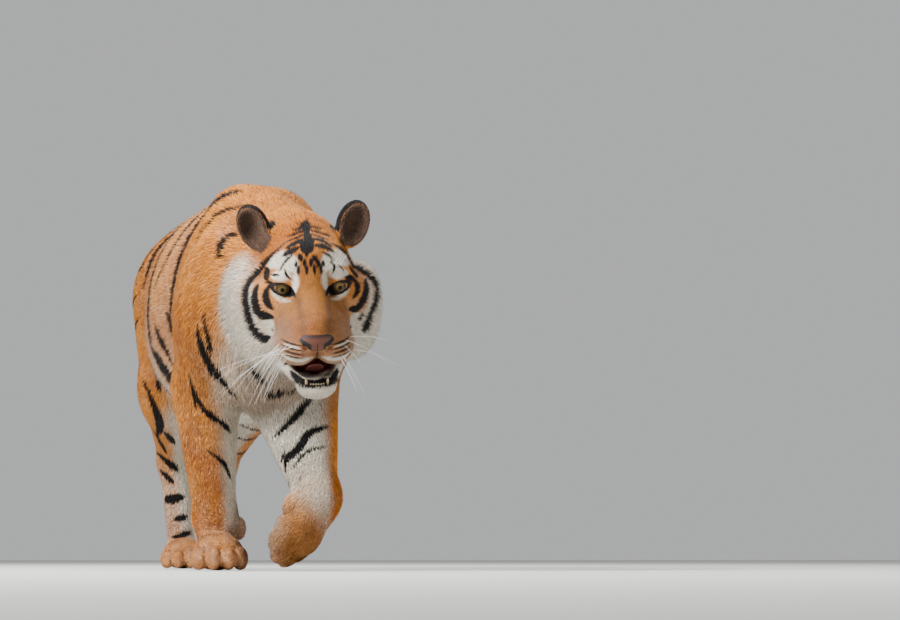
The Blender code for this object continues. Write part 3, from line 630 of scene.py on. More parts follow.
# -------- the head's shape
def centred(name: str, centre: Triple, half: Triple, tilt: float, blend: float, pelt: Pelt = FLANK) -> Mass:
    """A ball on the head's own middle plane."""
    return ball(name, centre, half, (tilt, 0, 0), HEAD, blend, pelt)


def pair(
    name: str, centre: Triple, half: Triple, turn: Triple, blend: float, pelt: Pelt = FLANK
) -> list[Mass]:
    """Two balls of the head, mirrored.

    Args:
        name: what follows left or right in their names.
        centre, half, turn: the left one's place, half sizes and degrees, in the head's frame.
        blend: how softly they join the masses before them.
        pelt: the coat over them.

    Returns:
        The left mass, then the right one.
    """
    x, y, z = centre
    tilt, roll, yaw = turn
    made = []
    for side in (Side.LEFT, Side.RIGHT):
        own_turn = (tilt, side * roll, side * yaw)
        made.append(ball(f"{side.label}_{name}", (side * x, y, z), half, own_turn, HEAD, blend, pelt))
    return made


@dataclass(frozen=True)
class Head:
    """Skull, face, cheeks, jaw and ears, in the head's own frame between the eyes."""

    eye_span: float = 0.058
    eye_radius: float = 0.0185
    opening: Triple = (0.0195, 0.034, 0.0108)
    opening_turn: Triple = (0, -14, 20)
    ear_place: Triple = (0.101, 0.140, 0.104)
    ear_turn: Triple = (-14, 16, -18)

    def masses(self) -> list[Mass]:
        """Skull, face and cheeks, then the lower jaw, then the ears.

        Returns:
            The masses.
        """
        lips = [
            limb(
                f"{side.label}_lower_lip", (side * 0.030, -0.086, -0.177), (side * 0.052, 0.030, -0.164),
                0.0115, 0.016, frame=HEAD, blend=0.014, pelt=CHIN,
            )
            for side in (Side.LEFT, Side.RIGHT)
        ]
        return [
            centred("skull", (0, 0.110, 0.016), (0.094, 0.130, 0.090), 8, 0.04, CROWN),
            centred("forehead", (0, 0.046, 0.034), (0.062, 0.062, 0.048), -25, 0.035, BROW),
            *pair("brow", (0.052, 0.014, 0.026), (0.032, 0.028, 0.018), (-10, 22, 16), 0.022, BROW),
            *pair("cheekbone", (0.086, 0.055, -0.026), (0.042, 0.070, 0.042), (0, 0, -22), 0.03, CHEEK),
            *pair("jowl", (0.080, 0.090, -0.092), (0.058, 0.085, 0.074), (0, 0, -10), 0.04, JOWL),
            *pair("ruff", (0.106, 0.128, -0.070), (0.052, 0.062, 0.104), (0, 10, 0), 0.04, RUFF),
            limb("bridge", (0, 0.020, 0.006), (0, -0.104, -0.064), 0.035, 0.034, 1.12, HEAD, 0.025, BRIDGE),
            *pair(
                "upper_jaw", (0.041, -0.030, -0.070), (0.034, 0.082, 0.042), (14, 0, -10), 0.03,
                UPPER_JAW,
            ),
            centred("nose", (0, -0.117, -0.088), (0.036, 0.026, 0.025), 20, 0.012, BRIDGE),
            *pair("muzzle", (0.036, -0.086, -0.106), (0.039, 0.053, 0.035), (6, 0, -10), 0.016, MUZZLE),
            *pair("lip", (0.053, -0.026, -0.112), (0.032, 0.072, 0.034), (2, 0, -12), 0.02, LIP),
            *pair("lid", (self.eye_span, 0.0005, 0.001), (0.0225, 0.0220, 0.0215), (0, 0, 0), 0.012, LID),
            limb("jaw", (0, 0.095, -0.140), (0, -0.055, -0.190), 0.060, 0.026, 1.5, HEAD, 0.014, JAW),
            centred("chin", (0, -0.078, -0.190), (0.041, 0.036, 0.025), 6, 0.012, CHIN),
            *lips,
            *self.ears(),
        ]

    def ears(self) -> list[Mass]:
        """The two ears, left first."""
        return pair("ear", self.ear_place, (0.036, 0.024, 0.053), self.ear_turn, 0.014, EAR)

    def cups(self) -> list[Mass]:
        """The hollows of the ears.

        Returns:
            The left mass, then the right one.
        """
        x, y, z = self.ear_place
        centre = (x + 0.003, y - 0.036, z + 0.004)
        return pair("ear_cup", centre, (0.0298, 0.040, 0.0462), self.ear_turn, 0.006)

    def hollows(self) -> list[Mass]:
        """What is carved from the flesh: the ears' cups, the eyes' openings and the nostrils.

        Returns:
            The masses.
        """
        eyes = (self.eye_span + 0.001, -0.036, 0.0)
        return [
            *self.cups(),
            *pair("eye_opening", eyes, self.opening, self.opening_turn, 0.003),
            *pair("nostril", (0.0265, -0.150, -0.100), (0.011, 0.020, 0.0065), (0, -30, 22), 0.004),
        ]

    def eye_reach(self, local: Rows) -> Rows:
        """Scaled distance from the nearer eye's middle.

        Args:
            local: rows of points in the head's frame.

        Returns:
            1 at the lids' rims, and 9 far in front of the eyes or behind them.
        """
        across = np.abs(local[:, 0]) - self.eye_span - 0.001
        lift = local[:, 2] - math.tan(math.radians(-self.opening_turn[1])) * across
        reach = np.hypot(across / self.opening[0], lift / self.opening[2])
        return np.where(np.abs(local[:, 1] + 0.014) < 0.03, reach, 9.0)


# -------- the blended surface
def soft_least(a: Rows, b: Rows, blend: float) -> Rows:
    """The smaller of two distances, rounded over where they are within blend of each other."""
    near = np.maximum(blend - np.abs(a - b), 0) / blend
    return np.minimum(a, b) - near * near * blend / 4


def ramp(low: float, high: float, value: Rows) -> Rows:
    """Smoothstep from 0 at low to 1 at high."""
    t = np.clip((value - low) / (high - low), 0, 1)
    return t * t * (3 - 2 * t)


@dataclass
class Flesh:
    """The masses joined softly, less the hollows."""

    masses: list[Mass]
    carved: list[Mass]

    def distance(self, points: Rows) -> Rows:
        """Signed distance to the coat's outer surface.

        Args:
            points: rows of points.

        Returns:
            Metres outside the surface, and 1 far from every mass.
        """
        total = np.full(len(points), 1.0)
        for mass in self.masses:
            near = mass.near(points, 0.10)
            total[near] = soft_least(total[near], mass.distance(points[near]), mass.blend)
        for mass in self.carved:
            near = mass.near(points, 0.03)
            total[near] = -soft_least(-total[near], mass.distance(points[near]), mass.blend)
        return total

    def settle(self, points: Rows, depth: Rows, steps: int = 6) -> Rows:
        """Moves points to where they lie under the outer surface by their depth.

        Each step goes down the slope of the distance, which forward differences give.

        Args:
            points: rows of points near the surface.
            depth: how deep each is to lie.
            steps: how many times to move them.

        Returns:
            The moved rows.
        """
        points = points.copy()
        small, longest = 0.0004, 0.006
        for _ in range(steps):
            here = self.distance(points)
            ahead = [self.distance(points + small * axis) for axis in np.eye(3)]
            rise = (np.stack(ahead, axis=1) - here[:, None]) / small
            move = rise * ((here + depth) / np.maximum((rise**2).sum(1), 0.05))[:, None]
            size = norm(move, axis=1, keepdims=True)
            points -= move * np.minimum(1, longest / np.maximum(size, TINY))
        return points

    def press(self, points: Rows, way: Vector, steps: int = 26) -> Rows:
        """Carries points along a direction until they meet the surface, or pass close by it.

        Args:
            points: rows of points outside the surface.
            way: the direction, of length 1.
            steps: how many strides to make; each is a little less than the distance there.

        Returns:
            The carried rows.
        """
        stride, longest = 0.85, 0.03
        for _ in range(steps):
            gap = np.clip(self.distance(points), 0, longest)
            points = points + stride * gap[:, None] * np.array(way)
        return points

    def pelts(self, points: Rows) -> dict[str, Rows]:
        """The coat at each point: the masses' own, weighted by exp(-distance / 16 mm).

        Args:
            points: rows of points near the surface.

        Returns:
            Arrays for depth, length, width, density and pale, and rows for lie.
        """
        keys = ("depth", "length", "width", "density")
        total = np.full(len(points), 1e-12)
        sums = {key: np.zeros(len(points)) for key in (*keys, "pale")}
        lie = np.zeros((len(points), 3))
        for mass in self.masses:
            near = mass.near(points, 0.08)
            weight = np.exp(-np.maximum(mass.distance(points[near]), -0.02) / 0.016)
            total[near] += weight
            for key in keys:
                sums[key][near] += weight * getattr(mass.pelt, key)
            lie[near] += weight[:, None] * np.array(mass.lie)
            pelt, pale = mass.pelt, mass.pelt.pale
            if pelt.inner:
                inward = mass.inward(points[near])
                pale = pale + pelt.inner * ramp(pelt.wrap - 0.30, pelt.wrap + 0.30, inward)
            sums["pale"][near] += weight * pale
        coat = {key: value / total for key, value in sums.items()}
        coat["lie"] = lie / np.maximum(norm(lie, axis=1, keepdims=True), TINY)
        return coat


# -------- mesh tools
def added(name: str, data: bpy.types.ID) -> Thing:
    """An object in the scene.

    Args:
        name: its name.
        data: its mesh, light or camera.

    Returns:
        The object.
    """
    thing = bpy.data.objects.new(name, data)
    bpy.context.scene.collection.objects.link(thing)
    return thing


def rows(collection: bpy.types.bpy_prop_collection, name: str, width: int = 3) -> Rows:
    """A property of every item of a collection.

    Args:
        collection: vertices, loop triangles or a layer's data.
        name: the property's name; vertices and loops are whole numbers.
        width: how many numbers each item has.

    Returns:
        One row for each item.
    """
    values = np.empty(len(collection) * width, np.int32 if name in ("vertices", "loops") else np.float64)
    collection.foreach_get(name, values)
    return values.reshape(-1, width)


def joined(name: str, masses: Iterable[Mass], detail: int = 3) -> Thing:
    """One object that holds the solids of all the masses, one in another.

    Args:
        name: the object's name.
        masses: what it holds.
        detail: how often each icosphere is divided.

    Returns:
        The object, in the scene.
    """
    whole = bmesh.new()
    scrap = bpy.data.meshes.new("scrap")
    for mass in masses:
        solid = mass.solid(detail)
        solid.to_mesh(scrap)
        solid.free()
        whole.from_mesh(scrap)
    mesh = bpy.data.meshes.new(name)
    whole.to_mesh(mesh)
    whole.free()
    bpy.data.meshes.remove(scrap)
    return added(name, mesh)


def settled(thing: Thing) -> None:
    """Applies an object's modifiers.

    Args:
        thing: the object, which is changed.
    """
    graph = bpy.context.evaluated_depsgraph_get()
    mesh = bpy.data.meshes.new_from_object(thing.evaluated_get(graph))
    thing.modifiers.clear()
    thing.data = mesh


def remesh(thing: Thing, grain: float) -> None:
    """One even skin over all that an object holds.

    Args:
        thing: the object, which is changed.
        grain: the size of a voxel.
    """
    step = thing.modifiers.new("Remesh", "REMESH")
    step.mode = "VOXEL"
    step.voxel_size = grain
    settled(thing)


def carve(thing: Thing, tool: Thing) -> None:
    """Takes another object away from this one.

    Args:
        thing: the object, which is changed.
        tool: what is taken away from it, and then removed.
    """
    step = thing.modifiers.new("Carve", "BOOLEAN")
    step.operation = "DIFFERENCE"
    step.solver = "EXACT"
    step.object = tool
    settled(thing)
    bpy.data.objects.remove(tool)


def mesh_from(name: str, points: Rows, faces: Rows) -> bpy.types.Mesh:
    """A mesh that is shaded smooth.

    Args:
        name: its name.
        points: rows of points.
        faces: rows of their numbers, one for each face.

    Returns:
        The mesh.
    """
    mesh = bpy.data.meshes.new(name)
    mesh.vertices.add(len(points))
    mesh.vertices.foreach_set("co", points.ravel())
    mesh.loops.add(faces.size)
    mesh.loops.foreach_set("vertex_index", faces.ravel().astype(np.int32))
    mesh.polygons.add(len(faces))
    mesh.polygons.foreach_set("loop_start", np.arange(0, faces.size, faces.shape[1], dtype=np.int32))
    mesh.update(calc_edges=True)
    smooth(mesh)
    return mesh


def smooth(mesh: bpy.types.Mesh) -> None:
    """Shades a mesh smooth."""
    mesh.polygons.foreach_set("use_smooth", np.ones(len(mesh.polygons), bool))
    mesh.update()


def write(mesh: bpy.types.Mesh, name: str, values: Rows) -> None:
    """A number on each vertex, which a material reads by its name."""
    mesh.attributes.new(name, "FLOAT", "POINT").data.foreach_set("value", values.astype(np.float32))


def tube_faces(rings: int, around: int) -> Rows:
    """The triangles of a closed tube.

    Args:
        rings: how many rings of vertices it has, before its two end points.
        around: how many vertices a ring has.

    Returns:
        Rows of three vertex numbers.
    """
    ring, step = np.meshgrid(np.arange(rings - 1), np.arange(around), indexing="ij")
    a = (ring * around + step).ravel()
    b = (ring * around + (step + 1) % around).ravel()
    each = np.arange(around)
    after = (each + 1) % around
    last = (rings - 1) * around
    ends = np.full(around, rings * around)
    return np.concatenate([
        np.stack([a, b, b + around], axis=1), np.stack([a, b + around, a + around], axis=1),
        np.stack([ends, after, each], axis=1), np.stack([ends + 1, last + each, last + after], axis=1),
    ])


def tubes(name: str, lines: list[Rows], radii: list[Rows], around: int) -> Thing:
    """Closed round tubes in one piece, each with the share of its length as the attribute tip.

    Args:
        name: the piece's name.
        lines: rows of places along each tube's middle.
        radii: the radius at each of those places.
        around: how many corners a tube's section has.

    Returns:
        The piece, in the scene.
    """
    points, faces, tips, base = [], [], [], 0
    angle = np.linspace(0, 2 * math.pi, around, endpoint=False)
    for line, radius in zip(lines, radii):
        axis = Vector(line[-1] - line[0])
        turn = np.array(axis.to_track_quat("Z", "Y").to_matrix())
        offset = np.outer(np.cos(angle), turn[:, 0]) + np.outer(np.sin(angle), turn[:, 1])
        ring = (line[:, None] + radius[:, None, None] * offset[None]).reshape(-1, 3)
        share = np.linspace(0, 1, len(line))
        points += [ring, line[:1], line[-1:]]
        tips += [np.repeat(share, around), [0, 1]]
        faces.append(tube_faces(len(line), around) + base)
        base += len(ring) + 2
    mesh = mesh_from(name, np.concatenate(points), np.concatenate(faces))
    write(mesh, "tip", np.concatenate(tips))
    return added(name, mesh)


# -------- markings
# Lines on the coat, in millimetres: half the greatest width, then the places it passes through.
# On the face a place is how far outward it is from the middle, and its height, in the head's
# frame, seen from the front; on the muzzle it is seen from right ahead of the nose; on the body
# it is X, Y and Z.
FACE_INK = {
    Side.RIGHT: (
        (15, (52, 93), (92, 57), (130, 12), (135, -32), (125, -78), (102, -101), (86, -98)),
        (14, (108, 12), (116, -18), (108, -50), (79, -58)),
        (11, (93, 44), (86, 20)),
        (9, (83, 12), (91, -10), (88, -29), (78, -42)),
        (3, (80, 29), (62, 27)),
        (4, (33, 68), (50, 56), (62, 36)),
        (3, (51, 40), (47, 26), (39, 17)),
        (10, (12, 102), (48, 83)),
        (10, (19, 85), (55, 68)),
        (7, (2, 121), (46, 108)),
        (7, (3, 113), (48, 96)),
        (7, (2, 130), (34, 122)),
    ),
    Side.LEFT: (
        (15, (44, 91), (72, 73), (100, 42), (134, 14), (143, -8), (138, -34), (128, -56), (116, -76)),
        (15, (127, -54), (119, -80), (107, -92)),
        (12, (115, 14), (117, -3), (112, -25), (97, -47), (80, -48)),
        (5, (109, -60), (98, -73)),
        (11, (87, 42), (95, 18)),
        (8, (72, 18), (92, 13), (97, -8), (87, -27)),
        (3, (59, 45), (70, 31)),
        (4, (24, 72), (39, 65), (52, 53)),
        (3, (42, 56), (50, 42), (47, 26)),
        (10, (3, 101), (25, 97), (46, 84)),
        (10, (12, 86), (30, 84), (51, 72)),
        (7, (2, 121), (47, 105)),
        (7, (1, 113), (45, 96)),
        (7, (-2, 130), (30, 122)),
    ),
}
MIDDLE_INK = (
    (9, (-3, 120), (-2, 97), (-6, 64)),
    (9, (-20, 101), (-4, 88), (12, 103)),
    (9, (-17, 88), (-5, 76), (9, 89)),
    (9, (-3, 144), (-5, 126), (-3, 106)),
    (5, (-27, 136), (-9, 135), (10, 134)),
    (6, (-20, 68), (-17, 56)),
    (6, (10, 66), (13, 53)),
    *((4.2, (x, 60 - abs(x) / 4), (x * 1.05, 42)) for x in (-27, -10, 3, 18, 27)),
    *((3.6, (x, 46), (x * 1.10, 26)) for x in (-22, -6, 9, 22)),
)
PAIRED_INK = (
    (11, (137, -165), (118, -186), (100, -205)),
    (3, (85, -80), (80, -86)),
    (4.5, (45, 2), (38, -6), (32, -17)),
    (3, (72, 9), (84, 14), (94, 14)),
)
MUZZLE_INK = (
    (13, (52, -162), (38, -170), (0, -174), (-38, -170), (-52, -162)),
    (8, (58, -146), (62, -154)),
    *((2.2, (28, -95 - 9 * row), (50, -91 - 9 * row), (70, -86 - 9 * row)) for row in range(4)),
)
CHALK = (
    (19, (30, 34), (42, 52), (62, 56), (84, 50)),
    (12, (42, 24), (58, 27), (78, 27)),
    (12, (52, 76), (70, 62), (88, 48)),
    (8, (30, 34), (31, 4), (38, -16)),
    (5, (82, 2), (74, -12), (60, -22), (42, -25)),
    (9, (119, 14), (127, -10), (122, -45), (108, -78)),
    (18, (100, -62), (84, -80), (95, -104)),
    (6, (119, 104), (121, 88)),
)
MUZZLE_CHALK = (
    (8, (8, -122), (30, -126), (56, -122), (70, -114)),
    (3, (34, -100), (66, -93)),
)
BODY_INK = (
    (10, (-85, -198, 697), (-100, -162, 700), (-118, -172, 675), (-124, -182, 645)),
    (8, (-55, -90, 773), (-105, -52, 760), (-140, -34, 720), (-154, -60, 690)),
    (13, (-165, -148, 503), (-138, -118, 435), (-92, -93, 377), (-66, -97, 352)),
    (7, (-154, -171, 533), (-137, -153, 464), (-128, -145, 449)),
    (5, (-166, -36, 416), (-143, -14, 338)),
    (6.5, (-160, -22, 396), (-131, -25, 340), (-84, -31, 306), (-68, -25, 290)),
    (6, (-123, -27, 253), (-85, -38, 225), (-68, -38, 188)),
    (11, (-22, -166, 352), (50, -184, 366)),
    (8, (90, -160, 362), (50, -136, 321), (8, -85, 275)),
    (10, (126, -125, 303), (79, -155, 287), (50, -160, 250), (29, -141, 229), (29, -133, 201)),
    (5, (28, -135, 249), (22, -110, 222)),
    (3.5, (123, -144, 260), (71, -172, 247), (38, -159, 208)),
    (2, (59, -189, 203), (40, -191, 175)),
    (12, (-185, 720, 446), (-155, 704, 370), (-137, 760, 335), (-137, 834, 313)),
    (9, (-166, 650, 445), (-150, 662, 408)),
    (9, (-125, 776, 322), (-93, 820, 294)),
    (8, (-150, 820, 334), (-109, 861, 272)),
    (12, (-130, 910, 280), (-75, 896, 231)),
    (9, (-120, 940, 238), (-88, 897, 204)),
    (13, (-112, 930, 165), (-60, 890, 172)),
    (9, (-88, 882, 117), (-50, 886, 125)),
    (10, (-95, 872, 76), (-44, 879, 88)),
)
# Stripes down the trunk: Y at the spine, halfway and at the end, then the first and the last
# angle from the top, then half the width in millimetres.
HOOPS = (
    (-0.02, 0.05, 0.10, 20, 62, 14), (0.345, 0.235, 0.225, 8, 103, 17), (0.40, 0.33, 0.36, 10, 80, 10),
    (0.48, 0.435, 0.405, 12, 128, 18), (0.53, 0.50, 0.50, 14, 100, 10), (0.60, 0.585, 0.56, 8, 118, 16),
    (0.64, 0.635, 0.63, 14, 90, 10), (0.72, 0.70, 0.69, 8, 95, 16), (0.76, 0.75, 0.755, 16, 75, 10),
    (0.84, 0.82, 0.83, 8, 70, 16), (0.88, 0.87, 0.88, 14, 62, 10), (0.95, 0.94, 0.95, 8, 55, 14),
    (0.40, 0.365, 0.37, 115, 150, 30), (0.54, 0.50, 0.48, 112, 148, 18), (0.33, 0.31, 0.28, 100, 125, 14),
    (0.25, 0.24, 0.22, 95, 108, 12), (0.62, 0.60, 0.58, 118, 150, 18), (0.16, 0.17, 0.15, 105, 130, 12),
)


def tapered(places: Sequence[Sequence[float]], half: float, fattest: float = 0.5) -> Rows:
    """A smooth line that tapers to both ends: its half width is half sqrt(sin(pi t^k)).

    Args:
        places: what it passes through.
        half: half its greatest width.
        fattest: the share t of its length where it is widest, which gives k.

    Returns:
        Rows of place and half width.
    """
    path = smooth_path(places, 5)
    share = np.clip(np.linspace(0, 1, len(path)), 0.02, 0.98) ** (math.log(0.5) / math.log(fattest))
    return np.column_stack([path, half * np.sqrt(np.sin(math.pi * share))])


@dataclass(frozen=True)
class Patch:
    """A soft ellipsoid in a frame, full inside and nothing outside."""

    centre: Triple
    half: Triple
    frame: Frame = HEAD
    edge: float = 0.12

    def amount(self, points: Rows) -> Rows:
        """A smoothstep of the scaled radius."""
        local = self.frame.inside(points) - np.array(self.centre)
        return ramp(1 + self.edge, 1 - self.edge, norm(local / np.array(self.half), axis=1))


MOUTH_PATCH = Patch((0, -0.030, -0.153), (0.046, 0.066, 0.0150))
PALE_PATCHES = (
    *(Patch((side * 0.118, 0.150, -0.075), (0.068, 0.085, 0.120), HEAD, 0.25) for side in Side),
    Patch((0, 0.40, 0.335), (0.17, 0.48, 0.090), WORLD, 0.30),
)
SOLE_PATCHES = (
    Patch((0, -0.080, -0.055), (0.030, 0.026, 0.022), LEFT_HAND.frame),
    Patch((0.004, 0.004, -0.066), (0.013, 0.017, 0.016), LEFT_HAND.frame),
)


@dataclass(frozen=True)
class NoseOutline:
    """The outline of the bare nose pad, seen from the front of the head."""

    low: float = -0.107
    high: float = -0.074
    heights: tuple[float, ...] = (0, 0.15, 0.4, 0.68, 0.9, 1)
    halves: tuple[float, ...] = (0.006, 0.0165, 0.0275, 0.0345, 0.0310, 0.022)

    def half(self, share: Rows) -> Rows:
        """Half the width at a share of the height."""
        return np.interp(share, self.heights, self.halves)

    def amount(self, local: Rows) -> Rows:
        """Which points lie within the outline.

        Args:
            local: rows of points in the head's frame.

        Returns:
            1 or 0 for each point.
        """
        share = (local[:, 2] - self.low) / (self.high - self.low)
        within = (np.abs(local[:, 0]) < self.half(share)) & (share > 0) & (share < 1)
        return (within & (local[:, 1] < -0.09)).astype(float)


@dataclass
class Lines:
    """Tapered lines on the coat, each as rows of place and half width."""

    lines: list[Rows]

    def settle(self, flesh: Flesh) -> None:
        """Moves every place to the middle of the coat's depth.

        Args:
            flesh: what the coat lies on.
        """
        whole = np.concatenate(self.lines)
        depth = 0.5 * flesh.pelts(whole[:, :3])["depth"]
        whole[:, :3] = flesh.settle(whole[:, :3], depth, steps=9)
        self.lines = np.split(whole, np.cumsum([len(line) for line in self.lines])[:-1])

    def inside(self, points: Rows) -> Rows:
        """How far inside a line each point is: the half width less the distance to the line.

        Args:
            points: rows of points.

        Returns:
            Metres inside the nearest line, less than 0 outside them all.
        """
        margin = 0.03
        best = np.full(len(points), OUTSIDE)
        for line in self.lines:
            low, high = line[:, :3].min(0) - margin, line[:, :3].max(0) + margin
            near = np.flatnonzero(((points > low) & (points < high)).all(1))
            starts, ways = line[:-1, :3], np.diff(line[:, :3], axis=0)
            offset = points[near][:, None] - starts
            t = np.clip((offset * ways).sum(2) / np.maximum((ways**2).sum(1), TINY), 0, 1)
            gap = norm(offset - t[:, :, None] * ways, axis=2)
            half = line[:-1, 3] + np.diff(line[:, 3]) * t
            best[near] = np.maximum(best[near], (half - gap).max(1))
        return best


@dataclass
class Markings:
    """Stripes, white marks and bare places, read at any points of the skin or the coat."""

    flesh: Flesh
    head: Head
    nose: NoseOutline = NoseOutline()
    lid_reach: float = 1.12  # where the fur begins about an eye, over the rim's own reach

    def __post_init__(self) -> None:
        """Lays every line on the coat."""
        rng = np.random.default_rng(SEED)
        ink = [self.on_face(line) for line in MIDDLE_INK]
        ink += [self.on_face(line, side) for side, lines in FACE_INK.items() for line in lines]
        ink += [self.on_body(line) for line in BODY_INK]
        chalk = []
        for side in Side:
            ink += [self.on_face(line, side) for line in PAIRED_INK]
            ink += [self.on_face(line, side, AHEAD) for line in MUZZLE_INK]
            chalk += [self.on_face(line, side) for line in CHALK]
            chalk += [self.on_face(line, side, AHEAD) for line in MUZZLE_CHALK]
        self.ink = Lines([*ink, *self.hoops(rng), *self.haunches(rng), *self.rings(rng), *self.bands(rng)])
        self.chalk = Lines(chalk)
        self.ink.settle(self.flesh)
        self.chalk.settle(self.flesh)

    def on_face(self, line: tuple, side: float = 1.0, way: Vector = FACED) -> Rows:
        """A line of the face.

        Args:
            line: half its width, then its places outward and up, all in millimetres.
            side: the sign of outward.
            way: the way along which it is carried back onto the face.

        Returns:
            Rows of place and half width.
        """
        half, *places = line
        flat = tapered([(side * x / 1000, 0, z / 1000) for x, z in places], half / 1000)
        start = HEAD.points(flat[:, :3]) - 0.22 * np.array(way)
        return np.column_stack([self.flesh.press(start, way), flat[:, 3]])

    def on_body(self, line: tuple) -> Rows:
        """A line of the body, carried back onto it from a little way in front.

        Args:
            line: half its width, then its places as X, Y and Z, all in millimetres.

        Returns:
            Rows of place and half width.
        """
        half, *places = line
        near = tapered([np.array(place) / 1000 for place in places], half / 1000)
        return np.column_stack([self.flesh.press(near[:, :3] - 0.08 * np.array(FACED), FACED), near[:, 3]])

    @staticmethod
    def section(y: float, angle: float, side: int) -> Triple:
        """A place on the trunk, on an ellipse about its middle.

        Args:
            y: along the trunk.
            angle: degrees from the top.
            side: the sign of X.

        Returns:
            X, Y and Z.
        """
        share = min(max((y + 0.1) / 1.1, 0), 1)
        wide, high, middle = 0.150 + 0.045 * math.sin(math.pi * share), 0.235, 0.585
        turn = math.radians(angle)
        return (side * wide * math.sin(turn), y, middle + high * math.cos(turn))

    def hoops(self, rng: Dice) -> list[Rows]:
        """Stripes down the trunk, and short bars across the spine.

        Y goes along a parabola through its three values, with a small wave.

        Args:
            rng: what shifts each one a little.

        Returns:
            The lines.
        """
        made = []
        for side in Side:
            for start, middle, end, first, last, half in HOOPS:
                shift, phase = rng.uniform(-0.008, 0.008), rng.uniform(0, 6)
                path = []
                for t in np.linspace(0, 1, 8):
                    y = start * (1 - t) * (1 - 2 * t) + middle * 4 * t * (1 - t) + end * t * (2 * t - 1)
                    wave = 0.006 * math.sin(7.5 * t + phase)
                    path.append(self.section(y + shift + wave, first + (last - first) * t, side))
                made.append(tapered(path, half / 1000, 0.42))
        for y in np.arange(0.14, 0.98, 0.085):
            x, slant = rng.uniform(0.022, 0.034), rng.uniform(-0.012, 0.012)
            made.append(tapered([(-x, y + slant, 0.81), (0, y, 0.82), (x, y - slant, 0.81)], 0.0065))
        return made

    def haunches(self, rng: Dice) -> list[Rows]:
        """Slanting stripes over the rump and the outside of the thighs.

        Args:
            rng: what places them.

        Returns:
            The lines.
        """
        made = []
        for side in Side:
            for number, z in enumerate(np.arange(0.72, 0.35, -0.06)):
                if side is Side.RIGHT and z < 0.44:
                    break
                back = 1.06 - 0.30 * max(0, 0.60 - z) + rng.uniform(-0.01, 0.01)
                front = back - rng.uniform(0.13, 0.20)
                half = rng.uniform(0.006, 0.010)
                path = [
                    (side * 0.145, back + (front - back) * t, z + 0.055 * t + 0.012 * math.sin(3 * t))
                    for t in np.linspace(0, 1, 5)
                ]
                made.append(tapered(path, half, 0.35))
                if number % 2:
                    made.append(tapered([(x, y - 0.01, z - 0.024) for x, y, z in path[1:4]], half * 0.6))
        return made

    def rings(self, rng: Dice) -> list[Rows]:
        """Rings about the tail, in pairs, and its dark tip.

        Args:
            rng: what shifts each one a little.

        Returns:
            The lines.
        """
        path = Tail().path
        span = np.concatenate([[0], np.cumsum(norm(np.diff(path[:, :3], axis=0), axis=1))])
        made = []
        for at in np.arange(0.10, span[-1] - 0.04, 0.078):
            for shift, size, start in ((0.0, 0.0095, 0.0), (0.026, 0.0050, math.pi)):
                here = at + shift + rng.uniform(-0.005, 0.005)
                centre, ahead = (
                    np.array([np.interp(s, span, column) for column in path.T]) for s in (here, here + 0.02)
                )
                along = Vector(ahead[:3] - centre[:3]).normalized()
                first = along.cross(Vector((1, 0, 0))).normalized()
                second = along.cross(first)
                ring = [
                    Vector(centre[:3]) + float(centre[3]) * (math.cos(a) * first + math.sin(a) * second)
                    + 0.010 * math.cos(a) * along
                    for a in start + np.linspace(-2.6, 2.6, 9)
                ]
                made.append(tapered(ring, size))
        tip = np.column_stack([path[-3:, :3], np.full(3, 0.045)])
        return [*made, tip]

    def bands(self, rng: Dice) -> list[Rows]:
        """Bands across the left shank and metatarsus.

        Args:
            rng: what turns each one a little.

        Returns:
            The lines.
        """
        made = []
        leg = LEFT_HINDLEG
        knee, hock, ankle = map(Vector, (leg.knee, leg.hock, leg.ankle))
        for start, end, share, reach, size in (
            (knee, hock, 0.25, 0.075, 0.008), (knee, hock, 0.50, 0.062, 0.007),
            (knee, hock, 0.75, 0.052, 0.009), (hock, ankle, 0.25, 0.044, 0.008),
            (hock, ankle, 0.55, 0.042, 0.006), (hock, ankle, 0.85, 0.040, 0.005),
        ):
            centre = start.lerp(end, share)
            band = [
                centre + Vector((reach * math.cos(a), reach * math.sin(a), 0.018 * math.sin(a)))
                for a in np.linspace(-2.2, 2.2, 7) + rng.uniform(-0.3, 0.3)
            ]
            made.append(tapered(band, size))
        return made

    def ears(self, points: Rows) -> tuple[Rows, Rows, Rows]:
        """The marks of the ears.

        Args:
            points: rows of points.

        Returns:
            How far inside the black of the backs each point is, the share of the cups' dusk, and
            the share of the white spots on the backs.
        """
        low, reach, front = -0.022, 0.010, -0.017  # where the black begins, about the ear's middle
        black = np.full(len(points), OUTSIDE)
        cup, spot = np.zeros((2, len(points)))
        for ear, hollow in zip(self.head.ears(), self.head.cups()):
            near = np.flatnonzero(ear.distance(points) < 0.015)
            own = (points[near] - np.array(ear.start)) @ np.array(ear.axes)
            high = own[:, 2] - low
            close = reach - ear.distance(points[near])
            black[near] = np.maximum(black[near], np.min([own[:, 1] - front, 0.6 * high, close], axis=0))
            deep = ramp(0.0095, 0.0055, hollow.distance(points[near])) * (own[:, 1] < 0.012)
            cup[near] = np.maximum(cup[near], deep)
            spot[near] = ramp(0.019, 0.012, np.hypot(own[:, 0], own[:, 2] + 0.002)) * (own[:, 1] > 0.014)
        return black, cup, spot

